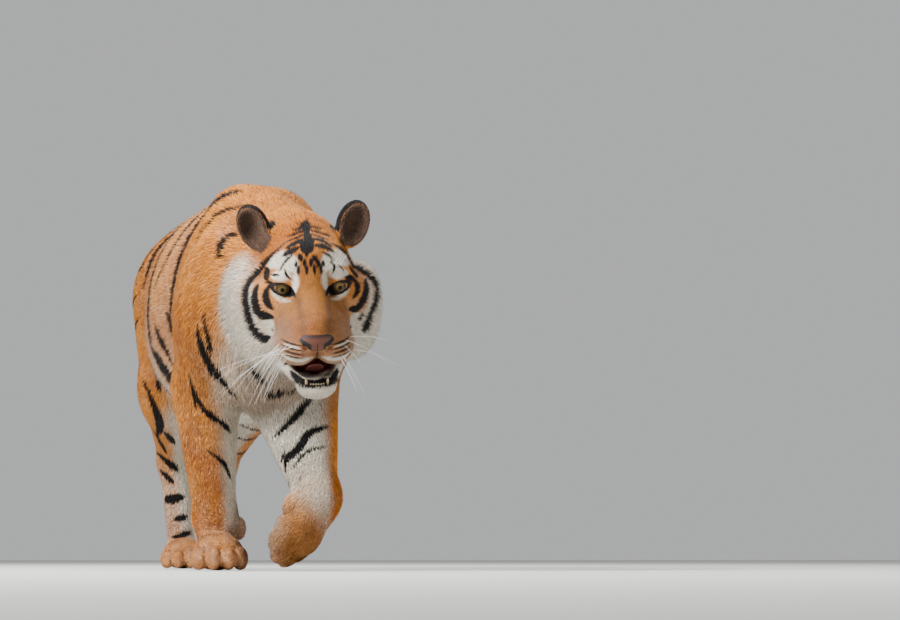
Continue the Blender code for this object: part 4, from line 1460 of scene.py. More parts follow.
    @staticmethod
    def tan(points: Rows) -> Rows:
        """Painted shade on the throat under the chin, and painted shade with darker tan fur on the face's
        front, the bridge's sides, the brow's middle and the lifted paw.

        Args:
            points: rows of points.

        Returns:
            Its share at each point.
        """
        x, y, z = HEAD.inside(points).T
        x = np.abs(x)
        # muzzle and sides: painted shade on the face's front, with darker tan fur there too
        muzzle = ramp(0.025, -0.035, y) * ramp(-0.145, -0.128, z) * ramp(0.100, 0.060, x)
        sides = muzzle * ramp(0.012, 0.0, np.abs(x - 0.026 - 0.10 * (z + 0.06))) * ramp(-0.088, -0.070, z)
        # brow: painted shade with darker fur between the brows
        brow = ramp(0.040, 0.018, x) * ramp(0.085, 0.045, z) * ramp(-0.02, 0.0, z) * (y < 0.06)
        # throat: painted shade under the chin
        throat = ramp(-0.15, -0.21, z) * ramp(-0.36, -0.28, z) * ramp(0.175, 0.12, x) * ramp(0.02, 0.08, y)
        # paw: painted shade with darker fur towards the hanging toes
        hand = LEFT_HAND.frame.inside(points)
        paw = ramp(-0.02, -0.09, hand[:, 1]) * (norm(hand, axis=1) < 0.20)
        return np.max([0.48 * muzzle + 0.25 * sides, 0.42 * brow, 0.42 * throat, 0.45 * paw], axis=0)

    def edges(self, local: Rows) -> Rows:
        """The dark of the lids' rims, the upper lips' edges and the cleft under the nose.

        Args:
            local: rows of points in the head's frame.

        Returns:
            How far inside one of them each point is.
        """
        rim = 0.0036 - np.abs(self.head.eye_reach(local) - 1.02) * 0.0125
        x, y, z = np.abs(local[:, 0]), local[:, 1], local[:, 2]
        upper = 0.0032 - np.abs(z + 0.1415 + 0.02 * (y + 0.1))
        upper = np.where((y < -0.02) & (x < 0.07) & (np.abs(z + 0.142) < 0.01), upper, OUTSIDE)
        cleft = np.where((y < -0.11) & (z < -0.104) & (z > -0.14), 0.0011 - x, OUTSIDE)
        return np.max([rim, upper, cleft], axis=0)

    def bare(self, points: Rows) -> Rows:
        """Skin without fur: the nose, the mouth's inside, the lids' rims and the pads.

        Args:
            points: rows of points.

        Returns:
            Its share at each point.
        """
        local = HEAD.inside(points)
        lids = (self.head.eye_reach(local) < self.lid_reach).astype(float)
        pads = [patch.amount(points) for patch in (MOUTH_PATCH, *SOLE_PATCHES)]
        return np.max([lids, self.nose.amount(local), *pads], axis=0)

    def read(self, points: Rows) -> dict[str, Rows]:
        """Every pigment at each point, and the painted shade that dusk carries, by its attribute's name.

        Args:
            points: rows of points of the skin or the coat.

        Returns:
            ink in metres inside a stripe, and the shares of pale, dusk, gum and sole.
        """
        black, cup, spot = self.ears(points)
        ink = np.max([self.ink.inside(points), self.edges(HEAD.inside(points)), black], axis=0)
        chalk = ramp(-0.006, 0.006, self.chalk.inside(points))
        patches = [patch.amount(points) for patch in PALE_PATCHES]
        pale = np.max([self.flesh.pelts(points)["pale"], chalk, spot, *patches], axis=0)
        ink = np.where((cup > 0.5) | (spot > 0.5), OUTSIDE, ink)
        return {
            "ink": ink,
            "pale": pale,
            # dusk: the ear cups' dark, and the painted shade from tan()
            "dusk": np.maximum(cup, self.tan(points) * (1 - chalk)),
            "gum": MOUTH_PATCH.amount(points),
            "sole": np.max([patch.amount(points) for patch in SOLE_PATCHES], axis=0),
        }


# -------- shader graphs
Number = Union["Value", float]
Colour = tuple[float, float, float]
Paint = Union[Colour, Socket]


def sum_of(operation: str, swapped: bool = False) -> Callable[["Value", Number], "Value"]:
    """A method of Value that adds one Math node.

    Args:
        operation: what the node does.
        swapped: whether the other number comes first.

    Returns:
        The method.
    """

    def method(value: "Value", other: Number) -> "Value":
        """The value and another number, through the node."""
        return value.math(operation, *((other, value) if swapped else (value, other)))

    return method


class Value:
    """A shader socket, with arithmetic that adds Math nodes."""

    def __init__(self, graph: "Graph", source: Socket) -> None:
        """Holds the socket and the graph that it is in."""
        self.graph = graph
        self.source = source

    def math(self, operation: str, *numbers: Number) -> "Value":
        """One Math node with these inputs."""
        made = self.graph.add("ShaderNodeMath", {"operation": operation}, dict(enumerate(numbers)))
        return Value(self.graph, made.outputs[0])

    __add__, __radd__ = sum_of("ADD"), sum_of("ADD", swapped=True)
    __sub__, __rsub__ = sum_of("SUBTRACT"), sum_of("SUBTRACT", swapped=True)
    __mul__, __rmul__ = sum_of("MULTIPLY"), sum_of("MULTIPLY", swapped=True)

    def smooth(self, low: float, high: float) -> "Value":
        """Smoothstep from 0 at low to 1 at high.

        Args:
            low, high: where it starts and ends.

        Returns:
            The new value.
        """
        settings = {"interpolation_type": "SMOOTHSTEP"}
        inputs = {"Value": self, "From Min": low, "From Max": high}
        return Value(self.graph, self.graph.add("ShaderNodeMapRange", settings, inputs).outputs[0])


class Graph:
    """A material's node tree, with short ways to add to it."""

    def __init__(self, name: str) -> None:
        """Makes the material.

        Args:
            name: the material's name.
        """
        self.material = bpy.data.materials.new(name)
        self.material.use_nodes = True
        self.tree = self.material.node_tree
        self.surface = self.tree.nodes["Principled BSDF"]

    def feed(self, socket: Socket, value: object) -> None:
        """Links a socket or sets a plain value.

        Args:
            socket: a node's input.
            value: a Value, a socket, a number or a colour.
        """
        if isinstance(value, Value):
            value = value.source
        if isinstance(value, Socket):
            self.tree.links.new(value, socket)
        elif socket.type == "RGBA":
            socket.default_value = (*value, 1.0)
        else:
            socket.default_value = value

    def add(self, kind: str, settings: dict | None = None, inputs: dict | None = None) -> bpy.types.Node:
        """Any node.

        Args:
            kind: its type.
            settings: its own properties, which are set first.
            inputs: values or links of its sockets, by name or number.

        Returns:
            The node.
        """
        node = self.tree.nodes.new(kind)
        for key, value in (settings or {}).items():
            setattr(node, key, value)
        for key, value in (inputs or {}).items():
            self.feed(node.inputs[key], value)
        return node

    def attribute(self, name: str) -> Value:
        """A number stored on the vertices."""
        return Value(self, self.add("ShaderNodeAttribute", {"attribute_name": name}).outputs["Fac"])

    def place(self) -> Socket:
        """Object coordinates."""
        return self.add("ShaderNodeTexCoord").outputs["Object"]

    def noise(self, scale: float, detail: float = 2.0) -> Value:
        """Noise about 0.5."""
        inputs = {"Vector": self.place(), "Scale": scale, "Detail": detail}
        return Value(self, self.add("ShaderNodeTexNoise", None, inputs).outputs["Fac"])

    def mix(self, factor: Value, low: Paint, high: Paint) -> Socket:
        """A blend of two colours: low where the factor is 0, high where it is 1."""
        return self.add("ShaderNodeMix", {"data_type": "RGBA"}, {0: factor, 6: low, 7: high}).outputs[2]

    def scaled(self, colour: Socket, factor: Value) -> Socket:
        """A colour times a number."""
        inputs = {0: colour, "Scale": factor}
        return self.add("ShaderNodeVectorMath", {"operation": "SCALE"}, inputs).outputs[0]

    def bump(self, height: Value, distance: float, strength: float) -> None:
        """A Bump into the surface's Normal."""
        inputs = {"Height": height, "Distance": distance, "Strength": strength}
        self.feed(self.surface.inputs["Normal"], self.add("ShaderNodeBump", None, inputs).outputs[0])

    def dress(self, **inputs: object) -> Material:
        """Sets the surface's sockets.

        Args:
            inputs: values or links by the sockets' names, with _ for spaces.

        Returns:
            The material.
        """
        for key, value in inputs.items():
            self.feed(self.surface.inputs[key.replace("_", " ")], value)
        return self.material


@dataclass(frozen=True)
class CoatFinish:
    """Striped orange and white fur with painted shade, read from the pigments on the vertices."""

    orange: Colour = (0.70, 0.262, 0.030)
    deep: Colour = (0.46, 0.132, 0.010)
    cream: Colour = (0.76, 0.69, 0.57)
    ink: Colour = (0.012, 0.010, 0.010)
    # the ear cups' dark, and the colour of the painted shade on the face, the throat and the lifted paw
    dusk: Colour = (0.105, 0.062, 0.042)
    gum: Colour = (0.16, 0.022, 0.018)
    sole: Colour = (0.10, 0.055, 0.040)
    rough: float = 0.62
    sheen: float = 0.12

    def material(self, name: str, under: bool) -> Material:
        """The fur.

        Args:
            name: the material's name.
            under: for the skin, which has no tip and luck of its own and is painted darker, as shade
                between the tufts.

        Returns:
            The material.
        """
        graph = Graph(name)
        fine = graph.noise(310, 1) - 0.5
        ink = graph.attribute("ink") + (graph.noise(48, 1) - 0.5) * 0.0014 + fine * 0.0022
        pale = graph.attribute("pale") + (graph.noise(30, 3) - 0.5) * 0.30 + fine * 0.20
        warmth = graph.noise(7) * 0.6 + graph.noise(70) * 0.4
        colour = graph.mix(warmth.smooth(0.38, 0.66), self.orange, self.deep)
        colour = graph.mix(pale.smooth(-0.05, 0.95), colour, self.cream)
        # dusk mixes in the ear cups' dark and the painted shade
        colour = graph.mix(graph.attribute("dusk"), colour, self.dusk)
        colour = graph.mix(ink.smooth(-0.0013, 0.0013), colour, self.ink)
        colour = graph.mix(graph.attribute("gum"), colour, self.gum)
        colour = graph.mix(graph.attribute("sole"), colour, self.sole)
        # Painted shade: the skin is darker between the tufts, and each tuft is darker at its root and
        # lighter at its tip, as shade deep in the coat; luck varies the tone at random.
        if under:
            shade = 0.66 + fine * 0.6
        else:
            shade = 0.68 + graph.attribute("tip") * 0.42 + (graph.attribute("luck") - 0.5) * 0.52
        graph.bump(graph.noise(900), 0.0006, 0.7)
        roughness = self.rough - graph.attribute("gum") * 0.35
        colour = graph.scaled(colour, shade)
        return graph.dress(Base_Color=colour, Roughness=roughness, Specular_IOR_Level=self.sheen)


@dataclass(frozen=True)
class EyeFinish:
    """Iris, pupil and the dark about them.

    They are read from the attribute sight, which is 0 at the middle and 1 at the iris's edge.
    """

    iris: Colour = (0.100, 0.062, 0.018)
    ring: Colour = (0.040, 0.028, 0.012)
    pupil: Colour = (0.004, 0.004, 0.004)
    white: Colour = (0.040, 0.028, 0.022)
    pupil_size: float = 0.36

    def material(self, name: str) -> Material:
        """A wet eye.

        Args:
            name: the material's name.

        Returns:
            The material.
        """
        graph = Graph(name)
        sight = graph.attribute("sight")
        rays = graph.noise(420, 3) - 0.5
        colour = graph.mix((sight + rays * 0.25).smooth(0.42, 0.92), self.iris, self.ring)
        colour = graph.mix(sight.smooth(self.pupil_size + 0.03, self.pupil_size - 0.03), colour, self.pupil)
        colour = graph.mix(sight.smooth(0.95, 1.06), colour, self.white)
        return graph.dress(
            Base_Color=colour, Roughness=0.25, Specular_IOR_Level=0.0, Coat_Weight=0.25, Coat_Roughness=0.03
        )


@dataclass(frozen=True)
class LeatherFinish:
    """Bare wrinkled skin in two tones, the second where the attribute dusk is high, which carries painted
    shade too.
    """

    base: Colour
    dark: Colour
    rough: float = 0.42
    grain: float = 900.0

    def material(self, name: str) -> Material:
        """The finish, with a pebbled bump.

        Args:
            name: the material's name.

        Returns:
            The material.
        """
        graph = Graph(name)
        spots = graph.noise(self.grain * 0.25, 3)
        colour = graph.mix(graph.attribute("dusk"), self.base, self.dark)
        colour = graph.mix((spots - 0.5) * 0.6, colour, self.dark)
        cells = graph.add("ShaderNodeTexVoronoi", None, {"Vector": graph.place(), "Scale": self.grain})
        graph.bump(Value(graph, cells.outputs["Distance"]), 0.0004, 0.6)
        roughness = spots * 0.2 + (self.rough - 0.1)
        return graph.dress(Base_Color=colour, Roughness=roughness, Specular_IOR_Level=0.25)


@dataclass(frozen=True)
class HardFinish:
    """Tooth or whisker: a smooth tone that turns to another at the attribute tip."""

    root: Colour
    tip: Colour
    rough: float = 0.3

    def material(self, name: str) -> Material:
        """The finish, faintly streaked.

        Args:
            name: the material's name.

        Returns:
            The material.
        """
        graph = Graph(name)
        streaks = graph.noise(260, 3)
        colour = graph.mix(graph.attribute("tip"), self.root, self.tip)
        colour = graph.mix(streaks.smooth(0.55, 0.8) * 0.3, colour, self.root)
        return graph.dress(Base_Color=colour, Roughness=streaks * 0.15 + self.rough)


NOSE_LEATHER = LeatherFinish((0.105, 0.036, 0.021), (0.006, 0.006, 0.008), rough=0.55)
TONGUE_SKIN = LeatherFinish((0.13, 0.030, 0.022), (0.03, 0.007, 0.006), rough=0.4)
ENAMEL = HardFinish((0.22, 0.14, 0.06), (0.42, 0.34, 0.20))
WHISKER_HAIR = HardFinish((0.80, 0.77, 0.70), (0.88, 0.86, 0.80), rough=0.35)


# -------- placing in the shared frame
@dataclass
class Shared:
    """The shift that carries the animal's frame to the shared frame of the solids."""

    shift: Vector

    @classmethod
    def found(cls, head: Head) -> "Shared":
        """Finds the shift from the left eye, which both frames hold."""
        low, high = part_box("eye_left")
        return cls((low + high) / 2 - HEAD.point((head.eye_span, 0, 0)))

    def deliver(self, thing: Thing, slot: str, material: Material, nodes: Sequence[str] = ()) -> None:
        """Moves a piece's vertices to the shared frame, and hands it over with its finish.

        Args:
            thing: the piece, built in the animal's frame.
            slot: the record's material slot; not used.
            material: its finish.
            nodes: the solids that it stands for.
        """
        thing.data.transform(Matrix.Translation(self.shift))
        thing.data.materials.clear()
        thing.data.materials.append(material)
        if nodes:
            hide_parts(*nodes)
        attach(thing, "root")
        log.info("%s: %d faces", thing.name, len(thing.data.polygons))


# -------- the skin
@dataclass
class Skin:
    """One closed skin over the whole animal, under the coat."""

    flesh: Flesh
    head: Head
    head_grain: float = 0.0036
    body_grain: float = 0.0090
    paw_height: float = 0.125
    seam: float = 0.175  # where the fine head meets the body, along the head's Y
    seam_height: float = -0.03  # of the line that the seam's plane leans about, in the head's frame
    seam_lean: float = math.radians(22)
    seam_width: float = 0.006
    floor_gap: float = 0.0003
    map_angle: float = math.radians(66)

    def whole(self, name: str, masses: list[Mass], carved: list[Mass], grain: float) -> Thing:
        """The remeshed union of masses, less the hollows.

        Args:
            name: the object's name.
            masses: what is joined.
            carved: what is taken away.
            grain: the remesh's voxel size.

        Returns:
            The object, in the scene.
        """
        thing = joined(name, masses)
        remesh(thing, grain)
        if carved:
            carve(thing, joined("hollows", carved))
            remesh(thing, grain)
        return thing

    def clipped(self, thing: Thing, y: float, keep_front: bool) -> bmesh.types.BMesh:
        """The part of an object on one side of a plane across the neck, left open there.

        Args:
            thing: the object, which is removed.
            y: where the plane crosses, along the head's Y.
            keep_front: whether the part in front of it is kept, or the one behind it.

        Returns:
            The part, as a bmesh.
        """
        mesh = bmesh.new()
        mesh.from_mesh(thing.data)
        bpy.data.objects.remove(thing)
        bmesh.ops.bisect_plane(
            mesh, geom=[*mesh.verts, *mesh.edges, *mesh.faces],
            plane_co=HEAD.point((0, y, self.seam_height)),
            plane_no=HEAD.turn @ Vector((0, math.cos(self.seam_lean), -math.sin(self.seam_lean))),
            clear_outer=keep_front, clear_inner=not keep_front,
        )
        return mesh

    def build(self) -> Thing:
        """The joined head and body, settled under the coat. The paws' faces are split once.

        Returns:
            The skin, in the scene.
        """
        forward = [*Trunk().masses(), *self.head.masses()]
        front = self.whole("front", forward, self.flesh.carved, self.head_grain)
        back = self.whole("back", self.flesh.masses, [], self.body_grain)
        fine = self.clipped(front, self.seam, True)
        whole = self.clipped(back, self.seam + self.seam_width, False)
        low = [edge for edge in whole.edges if max(vert.co.z for vert in edge.verts) < self.paw_height]
        bmesh.ops.subdivide_edges(whole, edges=low, cuts=1, use_grid_fill=True)
        mesh = bpy.data.meshes.new("skin")
        fine.to_mesh(mesh)
        fine.free()
        whole.from_mesh(mesh)
        bmesh.ops.bridge_loops(whole, edges=[edge for edge in whole.edges if edge.is_boundary])
        bmesh.ops.triangulate(whole, faces=whole.faces)
        bmesh.ops.recalc_face_normals(whole, faces=whole.faces)
        whole.to_mesh(mesh)
        whole.free()
        points = rows(mesh.vertices, "co")
        points = self.flesh.settle(points, self.flesh.pelts(points)["depth"])
        points[:, 2] = np.maximum(points[:, 2], self.floor_gap)
        mesh.vertices.foreach_set("co", points.ravel())
        smooth(mesh)
        return added("skin", mesh)

    def unwrap(self, thing: Thing) -> None:
        """A map of the skin's own shape.

        Args:
            thing: the skin, which is changed.
        """
        thing.data.uv_layers.new(name=UV_NAME)
        bpy.context.view_layer.objects.active = thing
        thing.select_set(True)
        bpy.ops.object.mode_set(mode="EDIT")
        bpy.ops.mesh.select_all(action="SELECT")
        bpy.ops.uv.smart_project(angle_limit=self.map_angle, island_margin=0.001)
        bpy.ops.object.mode_set(mode="OBJECT")
        thing.select_set(False)

    def dress(self, thing: Thing, markings: Markings) -> None:
        """Writes the pigments, and the painted shade that dusk carries, on the skin's vertices.

        Args:
            thing: the skin, which is changed.
            markings: what is read.
        """
        mesh = thing.data
        for name, values in markings.read(rows(mesh.vertices, "co")).items():
            write(mesh, name, values)


# -------- the coat
@dataclass
class Coat:
    """Solid tufts over the skin: closed four-cornered spikes that follow the lie of the hair."""

    flesh: Flesh
    markings: Markings
    count: int = 340_000
    piece: int = 45_000  # how many a piece holds at most
    jitter: float = 0.20  # the spread of their turn from the lie, in radians
    patch: float = 0.0015  # half the size of a tuft's place on the map
    bald: float = 0.004  # the height below which none grow, on the soles
    sunk: float = 0.0006  # how far a tuft's root lies under the skin
    floor_gap: float = 0.0008  # from the floor to the lowest tips

    def roots(self, skin: bpy.types.Mesh, rng: Dice) -> dict[str, Rows]:
        """Random places on the skin, denser where the tufts are small.

        Args:
            skin: the skin's mesh, with its map.
            rng: what places them.

        Returns:
            Rows for place, normal and spot, which is the place on the map.
        """
        skin.calc_loop_triangles()
        corners = rows(skin.loop_triangles, "vertices")
        points, normals = rows(skin.vertices, "co"), rows(skin.vertices, "normal")
        a, b, c = (points[corners[:, i]] for i in range(3))
        middle = (a + b + c) / 3
        weight = 0.5 * norm(np.cross(b - a, c - a), axis=1)
        furred = (1 - self.markings.bare(middle)) * (middle[:, 2] > self.bald)
        weight *= self.flesh.pelts(middle)["density"] * furred
        share = np.cumsum(weight) / weight.sum()
        log.info("a single layer would take %d tufts", int(weight.sum()))
        ticks = (np.arange(self.count) + rng.uniform(size=self.count)) / self.count
        chosen = np.minimum(np.searchsorted(share, ticks), len(share) - 1)
        u, v = rng.uniform(size=(2, self.count))
        over = u + v > 1
        u[over], v[over] = 1 - u[over], 1 - v[over]
        weights = np.stack([1 - u - v, u, v], axis=1)[:, :, None]
        normal = (normals[corners[chosen]] * weights).sum(1)
        spots = rows(skin.uv_layers[UV_NAME].uv, "vector", 2)
        return {
            "place": (points[corners[chosen]] * weights).sum(1),
            "normal": normal / norm(normal, axis=1, keepdims=True),
            "spot": (spots[rows(skin.loop_triangles, "loops")[chosen]] * weights).sum(1),
        }

    def build(self, skin: bpy.types.Mesh) -> list[Thing]:
        """The coat in pieces, front to back.

        The tip of a tuft lies at its root + length x lie, then moves square to the skin until it
        meets the coat's outer surface.

        Args:
            skin: the skin's mesh, with its map.

        Returns:
            The pieces, in the scene.
        """
        rng = np.random.default_rng(SEED)
        tuft = self.roots(skin, rng)
        place, normal = tuft["place"], tuft["normal"]
        coat = self.flesh.pelts(place)
        swing = rng.normal(0, self.jitter, self.count)[:, None]
        lie = coat["lie"] - normal * (coat["lie"] * normal).sum(1, keepdims=True)
        lie /= np.maximum(norm(lie, axis=1, keepdims=True), TINY)
        lie = lie * np.cos(swing) + np.cross(lie, normal) * np.sin(swing)
        length = coat["length"] * rng.uniform(0.75, 1.2, self.count)
        tip = place + lie * length[:, None]
        rise = -self.flesh.distance(tip) - coat["depth"] * rng.uniform(0.0, 0.45, self.count)
        tip += normal * np.clip(rise, -0.6 * length, 0.7 * length)[:, None]
        tip[:, 2] = np.maximum(tip[:, 2], self.floor_gap)
        tuft.update(self.markings.read(place + 0.6 * (tip - place)))
        tuft["tip"] = tip
        tuft["side"] = np.cross(lie, normal)
        tuft["width"] = coat["width"] * rng.uniform(0.8, 1.2, self.count)
        tuft["luck"] = rng.uniform(size=self.count)
        log.info("%d tufts laid", self.count)
        order = np.array_split(np.argsort(place[:, 1]), math.ceil(self.count / self.piece))
        return [
            self.tufts(f"coat_{number:02d}", {key: values[chosen] for key, values in tuft.items()})
            for number, chosen in enumerate(order, 1)
        ]

    def tufts(self, name: str, tuft: dict[str, Rows]) -> Thing:
        """One piece of tufts: each has a three-cornered root and a tip, as four triangles.

        Args:
            name: the piece's name.
            tuft: a row for each tuft of everything that was worked out.

        Returns:
            The piece, in the scene.
        """
        half = 0.5 * tuft["width"][:, None]
        across, up = tuft["side"] * half, tuft["normal"] * half
        root = tuft["place"] - self.sunk * tuft["normal"]
        points = np.stack([root + across, root - across, root + 0.9 * up, tuft["tip"]], axis=1)
        faces = np.array([(0, 2, 1), (0, 1, 3), (0, 3, 2), (1, 2, 3)])
        triangles = (faces + 4 * np.arange(len(root))[:, None, None]).reshape(-1, 3)
        mesh = mesh_from(name, points.reshape(-1, 3), triangles)
        corners = np.array([(-1, -1), (1, -1), (0, 0), (0, 1)]) * self.patch
        spots = (tuft["spot"][:, None] + corners).reshape(-1, 2)
        mesh.uv_layers.new(name=UV_NAME).uv.foreach_set("vector", spots[triangles.ravel()].ravel())
        for key in ("ink", "pale", "dusk", "gum", "sole", "luck"):
            write(mesh, key, np.repeat(tuft[key], 4))
        # tip: 0 at the root to 1 at the tip; the coat's finish uses it to paint shade at the roots
        write(mesh, "tip", np.tile([0.0, 0.0, 0.3, 1.0], len(root)))
        return added(name, mesh)


# -------- eyes, nose, mouth, whiskers
@dataclass(frozen=True)
class Eye:
    """An eyeball with a clear bulge over its iris."""

    side: Side
    head: Head
    iris: float = 0.0115  # its radius
    bulge: float = 0.045  # over the iris, as a share of the eye's radius
    look: Triple = (0.02, -1, -0.04)  # the way both eyes look, in the head's frame

    def build(self) -> Thing:
        """A fine ball, pushed out a little over the iris.

        Returns:
            The eyeball.
        """
        centre = HEAD.point((self.side * self.head.eye_span, 0, 0))
        thing = joined(f"eyeball_{self.side.label}", [ball("eye", centre, (self.head.eye_radius,) * 3)], 6)
        sight = np.array(HEAD.turn @ Vector(self.look).normalized())
        points = rows(thing.data.vertices, "co") - np.array(centre)
        ahead = points @ sight
        across = norm(points - ahead[:, None] * sight, axis=1)
        points *= (1 + self.bulge * ramp(self.iris * 1.15, 0, across) * (ahead > 0))[:, None]
        thing.data.vertices.foreach_set("co", (points + np.array(centre)).ravel())
        write(thing.data, "sight", np.where(ahead > 0, across / self.iris, 3))
        smooth(thing.data)
        return thing


@dataclass(frozen=True)
class Nose:
    """The bare nose pad with its nostrils."""

    flesh: Flesh
    outline: NoseOutline = NoseOutline()
    across: int = 61
    up: int = 41
    thick: float = 0.008
    proud: float = 0.0016
    sunk: float = 0.0008  # how far the rim lies under the muzzle
    start: float = -0.20  # where the sheet is pressed back from, along the head's Y

    def build(self) -> Thing:
        """A sheet over the front of the muzzle, proud of it but for its rim, closed by one behind.

        Returns:
            The nose pad.
        """
        u, v = np.meshgrid(np.linspace(-1, 1, self.across), np.linspace(0, 1, self.up))
        u, v = u.ravel(), v.ravel()
        outline = self.outline
        high = outline.low + v * (outline.high - outline.low)
        local = np.column_stack([u * outline.half(v), np.full(len(u), self.start), high])
        lift = self.proud * (1 - u**6) * (1 - (2 * v - 1) ** 6) - self.sunk
        front = self.flesh.press(HEAD.points(local), AHEAD)
        front -= lift[:, None] * np.array(AHEAD)
        back = front + self.thick * np.array(AHEAD)
        grid = np.arange(len(u)).reshape(self.up, self.across)
        sheet = np.stack([grid[:-1, :-1], grid[:-1, 1:], grid[1:, 1:], grid[1:, :-1]], axis=2)
        sheet = sheet.reshape(-1, 4)
        rim = np.concatenate([grid[0], grid[1:, -1], grid[-1, -2::-1], grid[-2:0:-1, 0]])
        after = np.roll(rim, -1)
        walls = np.column_stack([rim, rim + len(u), after + len(u), after])
        faces = np.concatenate([sheet, sheet[:, ::-1] + len(u), walls])
        mesh = mesh_from("nose_pad", np.concatenate([front, back]), faces)
        # dusk: darker edges, and painted shade in the nostrils and the groove
        write(mesh, "dusk", np.tile(self.dusk(local), 2))
        return added("nose_pad", mesh)

    def dusk(self, local: Rows) -> Rows:
        """Darker at the top edge and the rim, with painted shade in the curled nostrils and the groove
        between them.

        Args:
            local: rows of points in the head's frame.

        Returns:
            Its share at each point.
        """
        x, z = np.abs(local[:, 0]), local[:, 2]
        top = ramp(-0.084, -0.075, z) * 0.85
        curl = np.abs(z + 0.099 - 0.75 * (x - 0.015) - 14 * (x - 0.024) ** 2)
        # holes and groove: painted shade in the nostrils and the crease between them
        holes = ramp(0.0095, 0.0060, curl) * ramp(0.010, 0.014, x)
        groove = ramp(0.0014, 0.0004, x) * ramp(-0.086, -0.094, z)
        outline = self.outline
        half = outline.half((z - outline.low) / (outline.high - outline.low))
        edge = ramp(0.80, 1.0, x / half)
        return np.max([top, holes, groove, edge * 0.7], axis=0)


@dataclass(frozen=True)
class Mouth:
    """Tongue and lower teeth."""

    tongue_centre: Triple = (0, -0.050, -0.1575)
    tongue_half: Triple = (0.0175, 0.040, 0.0055)
    canine: tuple[Triple, Triple, float] = ((0.0200, -0.096, -0.183), (0.0222, -0.100, -0.1675), 0.0032)
    incisor: tuple[Triple, Triple, float] = ((0, -0.1045, -0.180), (0, -0.1050, -0.1770), 0.0020)
    incisors: int = 6
    pitch: float = 0.0050
    bow: float = 0.0006
    rings: int = 8

    def tongue(self) -> Thing:
        """A flat ball that leans forward, painted darker to its back as shade inside the mouth.

        Returns:
            The tongue.
        """
        thing = joined("tongue_flesh", [centred("tongue", self.tongue_centre, self.tongue_half, -24, 0)], 5)
        local = HEAD.inside(rows(thing.data.vertices, "co"))
        # Painted shade: darker towards the back of the mouth
        write(thing.data, "dusk", 0.35 + 0.65 * ramp(-0.07, -0.03, local[:, 1]))
        smooth(thing.data)
        return thing

    def teeth(self) -> Thing:
        """Two canines and six incisors of the lower jaw, round with blunt tips.

        Returns:
            The teeth, in one piece.
        """
        root, tip, radius = self.canine
        specs = [((side * root[0], *root[1:]), (side * tip[0], *tip[1:]), radius) for side in Side]
        root, tip, radius = self.incisor
        for number in range(self.incisors):
            step = number - (self.incisors - 1) / 2
            x, back = step * self.pitch, self.bow * step**2
            specs.append(((x, root[1] + back, root[2]), (x * 1.04, tip[1] + back, tip[2]), radius))
        t = np.linspace(0, 1, self.rings)
        lines = [np.linspace(HEAD.point(root), HEAD.point(tip), self.rings) for root, tip, _ in specs]
        radii = [radius * np.sqrt(np.maximum(1 - t**2.2, 0.01)) for _, _, radius in specs]
        return tubes("lower_teeth", lines, radii, 14)


@dataclass(frozen=True)
class Whiskers:
    """White whiskers on the muzzle, more of them on the right, and a few over the eyes."""

    flesh: Flesh
    radius: float = 0.00048
    taper: float = 0.85  # how much thinner the tip is, as a share of the radius
    droop: float = 0.28  # how far the tip hangs, as a share of the length
    sunk: float = 0.002  # how deep the root is
    rings: int = 10

    def ways(self, rng: Dice) -> list[tuple[Triple, Triple, float]]:
        """Where the whiskers grow.

        Args:
            rng: what places them.

        Returns:
            Each one's root and way in the head's frame, and its length.
        """
        made = []
        for side, long_ones, short_ones in ((Side.RIGHT, 5, 11), (Side.LEFT, 3, 5)):
            for number in range(long_ones + short_ones):
                t, low = rng.uniform(size=2)
                root = (side * (0.042 + 0.020 * t), -0.126 + 0.058 * t, -0.096 - 0.028 * low)
                if number < long_ones:
                    way, length = (side, 0.15 + 0.3 * t, 0.05 - 0.20 * number), rng.uniform(0.13, 0.17)
                else:
                    way, length = (side * 0.6, 0.05 + 0.4 * t, -0.5 - 0.6 * low), rng.uniform(0.07, 0.11)
                made.append((root, way, length if side is Side.RIGHT else 0.75 * length))
            for number in range(3):
                way = (side * 0.4, -0.25, 0.85)
                root = (side * (0.050 + 0.008 * number), -0.010, 0.048)
                made.append((root, way, rng.uniform(0.03, 0.05)))
        return made

    def build(self) -> Thing:
        """Thin tapered tubes that droop along a parabola.

        Returns:
            The whiskers, in one piece.
        """
        rng = np.random.default_rng(SEED)
        t = np.linspace(0, 1, self.rings)[:, None]
        lines = []
        for root, way, length in self.ways(rng):
            start = self.flesh.settle(np.array([HEAD.point(root)]), np.array([self.sunk]), steps=8)
            out = np.array(HEAD.turn @ Vector(way).normalized())
            lines.append(start + length * (t * out + self.droop * t**2 * np.array((0, 0.02, -1))))
        return tubes("whiskers", lines, [self.radius * (1 - self.taper * t[:, 0])] * len(lines), 5)


